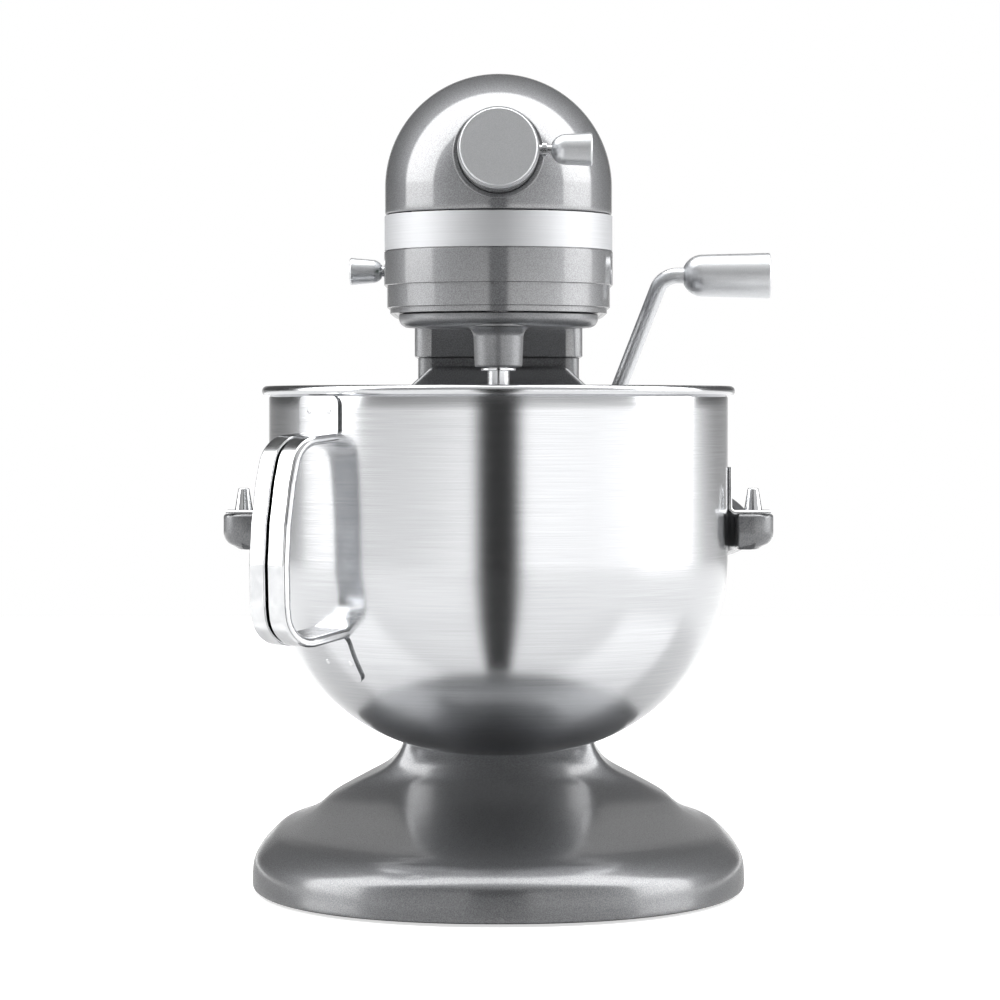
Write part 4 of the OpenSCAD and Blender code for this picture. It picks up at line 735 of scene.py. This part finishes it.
def make_rear_cover():
    start = SEAM + 0.1
    ys = [start + (REAR - start) * t for t in np.sin(np.linspace(0, math.pi / 2, 26))]
    half = [(max(0.02, half_width(y + 1e-6) - ARCH_INSET) if y < REAR - 0.01 else 0.0, y)
            for y in ys]
    rows = arch_rows(half, HEAD_LOW + 0.1)
    count = len(rows[0])
    starts = range(0, len(rows) * count, count)
    bottom = list(starts) + [first + count - 1 for first in starts[-2::-1]]
    shell = walled(grid(rows, more=[bottom]), 3, 0.9, (0, 200, 340))
    vents, pitch = 7, 6.8
    first = (-pitch * (vents - 1) / 2 * MM, (REAR - 4) * MM + AXIS_Y, (HEAD_LOW + 31) * MM)
    bars = grown(SLOTS, bpy.data.meshes.new("start"), Count=vents, Pitch=pitch * MM,
                 Bar=(3.4 * MM, 20 * MM, 26 * MM), First=first, Finish=FINISH["head_paint"])
    # holes of the cover's screw and of the cord's gland
    holes = [drill(r, -14, 6, 32, (0, REAR, z), ALONG_Y)
             for r, z in ((2.3, ARCH_Z + 8), (5.1, HEAD_LOW + 9))]
    piece("rear_cover_shell", less(shell, bars, *holes), "head_paint", "stand", "rear_cover")


make_upper_housing()
make_lower_housing()
make_band()
make_rear_cover()


# ------ hub and knobs

def knob_profile(length, r_in, r_out, hole_r, hole_l):
    """A knob from its round inner end to its flat outer end, with a blind hole inside."""
    dome = [p for p in arc((0, r_in), r_in, -70, 0, 11) if p[0] > hole_r]
    end = arc((r_out - 1.0, length - 1.0), 1.0, 0, 90, 5)
    return ([(0, hole_l), (hole_r, hole_l), (hole_r, dome[0][1])] + dome + end
            + [(0, length - 0.25)])


def make_hub():
    """The neck from behind to its mouth, the cap 0.3 mm off the mouth, and the thumb screw."""
    place, mouth, gap, thick, edge, screw_y = (0, 0, HUB_Z), -99.5, 0.3, 12, 1.4, -92
    sleeve = turned([(15, -60), (15, mouth + 0.6), (15.6, mouth), (19.2, mouth),
                     (20, mouth + 0.8), (20, -60), (15, -60)], 128, place, ALONG_Y)
    piece("hub_neck", sleeve, "head_paint", "stand", "hub_sleeve")
    front, plug = mouth - gap - thick, 14.7
    cap = turned(
        [(0, front - 0.7), (18.0, front - 0.8)] + arc((18.2, front), 0.8, -90, 0, 4)
        + arc((18.2, front), edge, 0, 40, 3) + [(19.6, mouth - edge), (18.6, mouth - gap),
         (plug, mouth - gap), (plug, mouth + 4), (0, mouth + 4)], 160, place, ALONG_Y)
    piece("hub_cap_disc", cap, "satin_metal", "cap", "hub_cap", sharp=25)
    stem = turned(
        [(0, 15.5), (2.4, 15.5), (2.4, 21.3), (3.4, 21.3), (3.6, 21.5), (3.6, 23.5),
         (3.4, 23.7), (2.4, 23.7), (2.4, 31.4), (0, 31.4)], 64, (0, screw_y, HUB_Z), ALONG_X)
    piece("thumb_stem", stem, "machined_steel", "thumb_screw", "hub_thumb_stem", sharp=25)
    knob = turned(knob_profile(20.5, 7.5, 8.1, 2.4, 6), 96, (25.4, screw_y, HUB_Z), ALONG_X)
    piece("thumb_knob", knob, "satin_metal", "thumb_screw", "hub_thumb_knob")


def make_speed_knob():
    knob = turned(knob_profile(18, 6.2, 7.2, 3, 8), 96, (61.2, SPEED_Y, SPEED_Z), ALONG_X)
    piece("speed_lever_knob", mirrored(knob), "satin_metal", "speed_lever", "speed_knob")


make_hub()
make_speed_knob()


# ------ planetary

def make_planetary():
    """The dish on its axis, and the boss and shaft that stand off it."""
    top, bottom, off, low = 296.2, 289.4, (0, -32, 0), 268.8
    dish = turned(
        [(7, bottom), (46, bottom)] + arc((46.2, bottom + 4.8), 4.8, -90, 0, 10)
        + [(51, top - 0.4), (50.6, top), (7, top), (7, bottom)], 160)
    boss = turned(
        [(5.6, low), (11, low)] + arc((11, low + 1), 1, -90, 0, 4)
        + [(12.6, bottom - 5)] + arc((18.0, bottom - 5.4), 5.4, 180, 90, 10)[1:]
        + [(18.0, bottom + 1), (5.6, bottom + 1), (5.6, low)], 96, off)
    hub = turned([(7, top - 1), (13, top - 1), (13, 307), (7, 307), (7, top - 1)], 48)
    piece("planetary_dish", joined(dish, boss, hub), "cast_alloy", "planetary_group", "planetary")
    shaft = turned([(0, 225), (4.7, 225), (5.5, 225.8), (5.5, 310), (0, 310)], 64, off)
    pin = turned([(0, -9.5), (1.6, -9.5), (2, -9.1), (2, 9.1), (1.6, 9.5), (0, 9.5)],
                 40, (0, off[1], 233), ALONG_X)
    washer = turned([(5.5, 267.1), (8.5, 267.1), (8.8, 267.4), (8.8, 268.2), (8.5, 268.5),
                     (5.5, 268.5), (5.5, 267.1)], 64, off)
    piece("beater_spindle", shaft, "machined_steel", "beater_group", "beater_shaft", sharp=25)
    piece("bayonet_pin", pin, "machined_steel", "beater_group", "beater_pin", sharp=25)
    piece("spindle_washer", washer, "polished_steel", "beater_group", "beater_washer", sharp=25)


make_planetary()


# ------ yoke

ARM_R, ARM_T, KNUCKLE_TOP, KNUCKLE_X, PIN_X = 122.5, 9.0, 194.0, 141.0, 130.6
PLATE_Y, PLATE_T = 123.3, 8


def make_arms():
    """Both arms in one bow round the bowl's back, deeper towards the column."""
    rings = []
    for a in np.radians(np.linspace(-4, 184, 150)):
        y = (ARM_R + ARM_T / 2) * math.sin(a)
        top = KNUCKLE_TOP + np.interp(y, [18, 95], [0, 22])
        low = KNUCKLE_TOP - np.interp(y, [-9, 25, 95], [18, 19, 32])
        rings.append([(p * math.cos(a), p * math.sin(a), z)
                      for p, z in rounded((ARM_R, low), (ARM_R + ARM_T, top), 2.2, 4)])
    return tidy(grid(rings, closed_v=True, caps=True))


def make_centre_plate():
    right = [(36.6, 271), (49.6, 259), (49.6, 178), (30, 160)]
    outline = right + [(-x, z) for x, z in right[::-1]]
    rings = [[(x, y, z) for x, z in outline] for y in (PLATE_Y, PLATE_Y + PLATE_T)]
    return with_modifiers(tidy(grid(rings, closed_v=True, caps=True)), ("BEVEL", {
        "width": 2.4 * MM, "segments": 4, "limit_method": "ANGLE"}))


def make_knuckle():
    """The block at an arm's end, rounded on top and drawn in below."""
    edge, root = 1.6, ARM_R + 0.4
    side = (arc((KNUCKLE_X - edge, KNUCKLE_TOP - edge), edge, 90, 0, 3)
            + [(KNUCKLE_X, KNUCKLE_TOP - 8)] + arc((KNUCKLE_X - 7, KNUCKLE_TOP - 9.5), 7, 0, -75)
            + [(KNUCKLE_X - 8, KNUCKLE_TOP - 18)])
    rings = []
    for reach, z in side:
        top = KNUCKLE_TOP - z
        half = 11 - max(0, edge - top) * 0.8 - max(0, top - 10) * 0.35
        r = min(half, reach - ARM_R - 1)
        end = arc((reach - r, -half + r), r, -90, 0) + arc((reach - r, half - r), r, 0, 90)
        rings.append([(x, y, z) for x, y in [(root, -half)] + end + [(root, half)]])
    return tidy(grid(rings, closed_v=True, caps=True))


def make_yoke():
    knuckle = make_knuckle()
    # pads behind the plate, and lugs that slide in the column's slots
    pads = [block((x - 9, PLATE_Y + PLATE_T - 0.5, 166), (x + 9, COLUMN_FRONT - 0.3, 262))
            for x in LUGS_X]
    lugs = [block((x - LUG_HALF, COLUMN_FRONT - 1, 205),
                  (x + LUG_HALF, COLUMN_FRONT + COLUMN_WALL + 0.3, 236)) for x in LUGS_X]
    piece("yoke_arms", joined(make_arms(), knuckle, mirrored(knuckle)), "stand_paint", "lift",
          "yoke", sharp=40)
    piece("yoke_plate", joined(make_centre_plate(), *pads, *lugs), "stand_paint", "lift", sharp=40)
    pin = turned([(0, -10), (2.5, -10), (2.5, 0), (4.7, 0), (4.7, 1.6), (2.9, 12.2)]
                 + arc((2.1, 12.4), 0.8, 0, 90, 4) + [(0, 13.2)],
                 64, (PIN_X, 0, KNUCKLE_TOP))
    piece("bowl_pins", joined(pin, mirrored(pin)), "polished_steel", "lift", "locating_pins",
          sharp=25)


make_yoke()


# ------ bowl

BOWL_R, BOWL_LOW_Z, BOWL_TOP_Z, BOWL_WALL, BOWL_ARC = 117.4, 71.6, 259.5, 1.2, 101.4
# Where the bottom's arc meets the wall and the flat
ARC_Z, FLAT_R = BOWL_LOW_Z + BOWL_ARC, BOWL_R - BOWL_ARC
# The handle's direction from the bowl's axis, and the plates' thickness
HANDLE_TURN, PLATE_OUT = math.radians(48.8), 1.5


def bowl_radius(z, out=0.0):
    """The bowl's outer radius at a height, moved out by a distance."""
    if z > ARC_Z:
        return BOWL_R + out
    return FLAT_R + math.sqrt((BOWL_ARC + out) ** 2 - (ARC_Z - z) ** 2)


def make_bowl():
    bead, inner_r = 2.6, BOWL_R - BOWL_WALL
    outer = [(0, BOWL_LOW_Z), (FLAT_R * 0.5, BOWL_LOW_Z)]
    outer += arc((FLAT_R, ARC_Z), BOWL_ARC, -90, 0, 64)
    outer += [(BOWL_R, z) for z in np.linspace(ARC_Z + 8, BOWL_TOP_Z - bead - 3.4, 12)]
    # the rim is rolled outwards into a bead
    curl = arc((inner_r + bead - 0.4, BOWL_TOP_Z - bead), bead, 232, -128, 26)
    inner = [(inner_r, z) for z in np.linspace(BOWL_TOP_Z - bead - 1.4, ARC_Z, 12)]
    inner += arc((FLAT_R, ARC_Z), BOWL_ARC - BOWL_WALL, 0, -90, 64)[1:]
    inner += [(0, BOWL_LOW_Z + BOWL_WALL)]
    piece("bowl_shell", turned(outer + curl[1:-6] + inner, 192), "bowl_steel", "bowl_group",
          "bowl", sharp=50)


def outward(turn):
    """The direction away from the bowl's axis, turned from the front to the left."""
    return np.array((-math.sin(turn), -math.cos(turn), 0.0))


def make_handle():
    """A sheet strap folded to a flat tube, with its open seam on the inside."""
    half_w, half_d, sheet, seam, corner = 14.3, 2.4, 1.2, 1.5, 1.9
    # it leaves the bowl, bends down, bows out slightly and bends back to the bowl
    reach, bow_r, bow_z, high, low = 151.0, 240.0, 167.0, 231.6, 131.2
    bow = [(reach - bow_r + math.sqrt((bow_r - half_d) ** 2 - (z - bow_z) ** 2), z)
           for z in np.linspace(high, low, 6)]
    line = rounded_bend([(116.2, 233.8)] + bow + [(109.0, 137.6)], 14.6, 12)
    out = outward(HANDLE_TURN)
    path = [out * p + (0, 0, z) for p, z in line]

    def fold(inset, start):
        w, d, r, steps = half_w - inset, half_d - inset, max(0.6, corner - inset), 5
        ring = rounded((-w, -d), (w, d), r, steps)[::-1]
        half = 2 * (steps + 1)
        return [(start, d)] + ring[half:] + ring[:half] + [(-start, d)]

    section = fold(0, seam + 0.4)[:-1] + [(-seam - 0.4, half_d), (-seam, half_d - 0.5)]
    section += fold(sheet, seam)[::-1] + [(seam, half_d - 0.5)]
    strap = swept(path, section, (-math.cos(HANDLE_TURN), math.sin(HANDLE_TURN), 0))
    piece("handle_strap", strap, "polished_steel", "bowl_group", "bowl_handle", sharp=40)


def make_plates():
    """Two plates welded to the bowl, bent to its shape, with rounded corners."""
    plates, corner = [], 4.0
    for low, high, turn in ((233.5, 254.3, 7.4), (112.0, 135.5, 6.6)):
        rows = []
        for z in low + (high - low) * (1 - np.cos(np.linspace(0, math.pi, 24))) / 2:
            reach = bowl_radius(z, PLATE_OUT)
            deep = max(0.0, corner - min(z - low, high - z))
            half = math.radians(turn) - (corner - math.sqrt(corner ** 2 - deep ** 2)) / reach
            rows.append([outward(b) * reach + (0, 0, z)
                         for b in HANDLE_TURN + np.linspace(-half, half, 20)])
        plates.append(walled(grid(rows), PLATE_OUT - 0.1, 0.45, (0, 0, 180)))
    piece("handle_plates", joined(*plates), "bowl_steel", "bowl_group")


def make_spot_welds():
    """Two in each plate, low round heads square to the bowl."""
    spots, facings = [], []
    for z, offsets in ((246.5, (-4.3, 3.0)), (122.0, (-5.0, 4.8))):
        for offset in offsets:
            out = outward(HANDLE_TURN + math.radians(offset))
            lean = 0 if z > ARC_Z else -(ARC_Z - z) / BOWL_ARC
            spots.append((out * bowl_radius(z, PLATE_OUT) + (0, 0, z)) * MM + (0, AXIS_Y, 0))
            facings.append(out * math.sqrt(1 - lean ** 2) + (0, 0, lean))
    mesh = bpy.data.meshes.new("points")
    mesh.from_pydata([tuple(spot) for spot in spots], [], [])
    held = mesh.attributes.new("facing", "FLOAT_VECTOR", "POINT")
    held.data.foreach_set("vector", np.asarray(facings, np.float32).ravel())
    welds = grown(STUDS, mesh, Radius=1.5 * MM, Height=0.25 * MM, Finish=FINISH["polished_steel"])
    piece("spot_welds", welds, "polished_steel", "bowl_group")


def make_brackets():
    """Bent strips on the bowl's sides, whose holes sit on the yoke's pins."""
    low, high, half_t, half = KNUCKLE_TOP + 0.1, KNUCKLE_TOP + 24, 0.95, 9.0
    path = rounded_bend([(BOWL_R + half_t, 0, high), (BOWL_R + half_t, 0, low + half_t),
                         (KNUCKLE_X - 1.8, 0, low + half_t)], 2.6, 6)
    corner = [(-half, 0.4 - half_t), (0.5 - half, -half_t)]
    section = corner + [(-x, z) for x, z in corner[::-1]]
    section += [(-x, -z) for x, z in section]
    bracket = less(swept(path, section, (0, 1, 0)), drill(5.1, -6, 6, 48, (PIN_X, 0, low + 1)))
    piece("pin_brackets", joined(bracket, mirrored(bracket)), "polished_steel", "bowl_group",
          "side_brackets")


make_bowl()
make_handle()
make_plates()
make_spot_welds()
make_brackets()


# ------ lift lever

# Degrees that the rod leans back and flares out, and the grip's height over the shaft
LEAN, FLARE, GRIP_RISE = 27.0, 18.5, 104.5
# Where the grip ends, its length, and the rod's radius and bend
GRIP_X, GRIP_L, ROD_R, BEND_R = 146.0, 47.5, 4.2, 11.0


def leaning(mesh):
    """Puts a mesh drawn about the lever's shaft in its leaning plane."""
    shaft = Vector((0, LEVER_Y * MM + AXIS_Y, LEVER_Z * MM))
    mesh.transform(Matrix.Translation(shaft) @ Matrix.Rotation(math.radians(LEAN), 4, "X")
                   @ Matrix.Translation((0, -AXIS_Y, 0)))
    return mesh


def make_lever():
    rise = GRIP_RISE / math.cos(math.radians(LEAN))
    start = COLUMN_HALF + 4.9
    corner = start + rise * math.tan(math.radians(FLARE))
    path = rounded_bend([(start + 1.3, 0, 4.0), (corner, 0, rise),
                         (GRIP_X - GRIP_L + 12, 0, rise)], BEND_R, 14)
    rod = swept(path, arc((0, 0), ROD_R, 0, 360, 32)[:-1], (0, 1, 0))
    near, seat, far = COLUMN_HALF + 1.5, COLUMN_HALF + 7, COLUMN_HALF + 9
    boss = turned(solid_profile([(5.5, seat), (5.5, near), (9, near), (9, far), (0, far)],
                                [0, 0.2, 0.8, 1.2, 0]) + [(0, seat)], 64, HERE, ALONG_X)
    piece("lever_bar", leaning(joined(rod, boss)), "satin_metal", "lever", "lever_rod")
    grip = turned(knob_profile(GRIP_L, 11.3, 12.2, ROD_R, 12), 96,
                  (GRIP_X - GRIP_L, 0, rise), ALONG_X)
    piece("lever_handgrip", leaning(grip), "satin_metal", "lever", "lever_grip")


make_lever()


# ------ the other nodes

def dress_nodes():
    """Gives the CAD nodes the finishes of their own slots."""
    slots = {s["node"]: s["material_slot"] for s in frame["record"]["subparts"]}
    for name, node in frame["nodes"].items():
        node.data.materials.clear()
        node.data.materials.append(FINISH[slots[name]])


dress_nodes()


# ------ studio

def stage_sheet(name, material, points, faces):
    """A sheet of the studio; gives its object and its material's empty tree."""
    mesh = bpy.data.meshes.new(name)
    mesh.from_pydata(points, [], faces)
    made, tree = blank(material)
    mesh.materials.append(made)
    sheet = linked(name, mesh)
    return sheet, tree


def make_floor():
    """Pale paper. It has a gloss that shows only in the object's own reflections."""
    far = 2.6
    _, tree = stage_sheet("floor", "white_floor", [
        (-far, -far, 0), (far, -far, 0), (far, far, 0), (-far, far, 0)], [(0, 1, 2, 3)])
    path = add_node(tree, "ShaderNodeLightPath").outputs
    place = add_node(tree, "ShaderNodeTexCoord").outputs["Object"]
    away = add_node(tree, "ShaderNodeVectorMath", {0: place}, operation="LENGTH")
    known = {"camera": path["Is Camera Ray"], "glossy": path["Is Glossy Ray"],
             "away": away.outputs["Value"],
             "graze": add_node(tree, "ShaderNodeFresnel", {"IOR": 1.9})}
    share = worked_out(
        tree, known,
        ("glow", "MULTIPLY", "camera", 0.66),
        ("near", "FADE", "away", 0.3, 0.5, 1.0, 0.0),
        ("shine", "MULTIPLY", "near", "graze"),
        ("share", "MULTIPLY", "glossy", "shine"))
    lit = add_node(tree, "ShaderNodeEmission", {"Strength": known["glow"]})
    paper = add_node(tree, "ShaderNodeBsdfDiffuse", {"Color": linear("#c6c6c6")})
    both = add_node(tree, "ShaderNodeAddShader", {0: lit, 1: paper})
    gloss = add_node(tree, "ShaderNodeBsdfGlossy", {"Roughness": 0.03})
    sheen = add_node(tree, "ShaderNodeMixShader", {0: share, 1: both, 2: gloss})
    add_node(tree, "ShaderNodeOutputMaterial", {"Surface": sheen})


def make_world():
    """A white room, as the strength of the light from each direction: X runs to the right, Y
    away from the camera and Z up. The camera itself sees plain white."""
    world = bpy.data.worlds.new("studio")
    bpy.context.scene.world = world
    world.use_nodes = True
    tree = world.node_tree
    tree.nodes.clear()
    ray = add_node(tree, "ShaderNodeTexCoord").outputs["Generated"]
    axes = add_node(tree, "ShaderNodeSeparateXYZ", {"Vector": ray}).outputs
    total = worked_out(
        tree, {axis: axes[axis] for axis in "XYZ"},
        # an arch of light over the object, from side to side
        ("off", "SUBTRACT", "Y", 0.065),
        ("apart", "ABSOLUTE", "off"),
        ("strip", "FADE", "apart", 0.29, 0.37, 4.6, 0.0),
        ("above", "FADE", "Z", -0.005, 0.1),
        ("arch", "MULTIPLY", "strip", "above"),
        # grey walls, darker at the far end, and a pale band low down that fades there too
        ("wall", "FADE", "Y", 0.0, 0.6, 0.55, 0.1),
        ("low", "FADE", "Z", 0.0, 0.07, 1.35, 0.0),
        ("nearer", "FADE", "Y", 0.2, 0.8, 1.0, 0.2),
        ("band", "MULTIPLY", "low", "nearer"),
        ("grey", "ADD", "wall", "band"),
        # all of that is darker on the left
        ("side", "FADE", "X", -0.95, 0.3, 0.66, 1.22),
        ("room", "MULTIPLY", "grey", "side"),
        # the backdrop at the far end
        ("backdrop", "FADE", "Y", 0.95, 0.985, 0.0, 0.3),
        ("walls", "ADD", "room", "backdrop"),
        ("total", "ADD", "arch", "walls"))
    path = add_node(tree, "ShaderNodeLightPath")
    seen = add_node(tree, "ShaderNodeMix", {0: path.outputs["Is Camera Ray"], 2: total, 3: 1.0})
    back = add_node(tree, "ShaderNodeBackground", {"Color": (1, 1, 1, 1), "Strength": seen})
    add_node(tree, "ShaderNodeOutputWorld", {"Surface": back})


def make_flag():
    """A dark cloth in front that only reflections show: along the floor, growing wider away
    from the foot, then up. It thins out towards its edges and its top."""
    near_y, far_y, near_half, far_half, top = -0.19, -1.7, 0.02, 0.42, 1.2
    rows = [(near_half, near_y, 0.014), (far_half, far_y, 0.002), (far_half, far_y, top)]
    cloth, tree = stage_sheet(
        "flag", "flag_cloth", [(side * half, y, z) for half, y, z in rows for side in (-1, 1)],
        [(0, 1, 3, 2), (2, 3, 5, 4)])
    cloth.visible_camera = cloth.visible_shadow = cloth.visible_diffuse = False
    cloth.visible_transmission = False
    place = add_node(tree, "ShaderNodeTexCoord").outputs["Object"]
    axes = add_node(tree, "ShaderNodeSeparateXYZ", {"Vector": place}).outputs
    half = add_node(tree, "ShaderNodeMapRange", {
        "Value": axes["Y"], "From Min": near_y, "From Max": far_y, "To Min": near_half,
        "To Max": far_half})
    thin = worked_out(
        tree, {"X": axes["X"], "Z": axes["Z"], "half": half},
        ("off", "ABSOLUTE", "X"),
        ("part", "DIVIDE", "off", "half"),
        ("edge", "FADE", "part", 0.45, 1.0),
        ("high", "FADE", "Z", 0.6, top),
        ("thin", "MAXIMUM", "edge", "high"))
    weave = add_node(tree, "ShaderNodeBsdfDiffuse", {"Color": linear("#202020")})
    clear = add_node(tree, "ShaderNodeBsdfTransparent")
    both = add_node(tree, "ShaderNodeMixShader", {0: thin, 1: weave, 2: clear})
    add_node(tree, "ShaderNodeOutputMaterial", {"Surface": both})


def make_camera():
    """A long lens 2 m in front, looking down by a little over a degree."""
    lens = bpy.data.cameras.new("camera")
    lens.lens = 140.4
    camera = linked("camera", lens)
    camera.location = (0.00077, -2.0433, 0.2472)
    camera.rotation_euler = (math.radians(90 - 1.32), 0, 0)
    bpy.context.scene.camera = camera


make_floor()
make_world()
make_flag()
make_camera()
bpy.context.scene.view_settings.view_transform = "Standard"

bpy.context.view_layer.update()
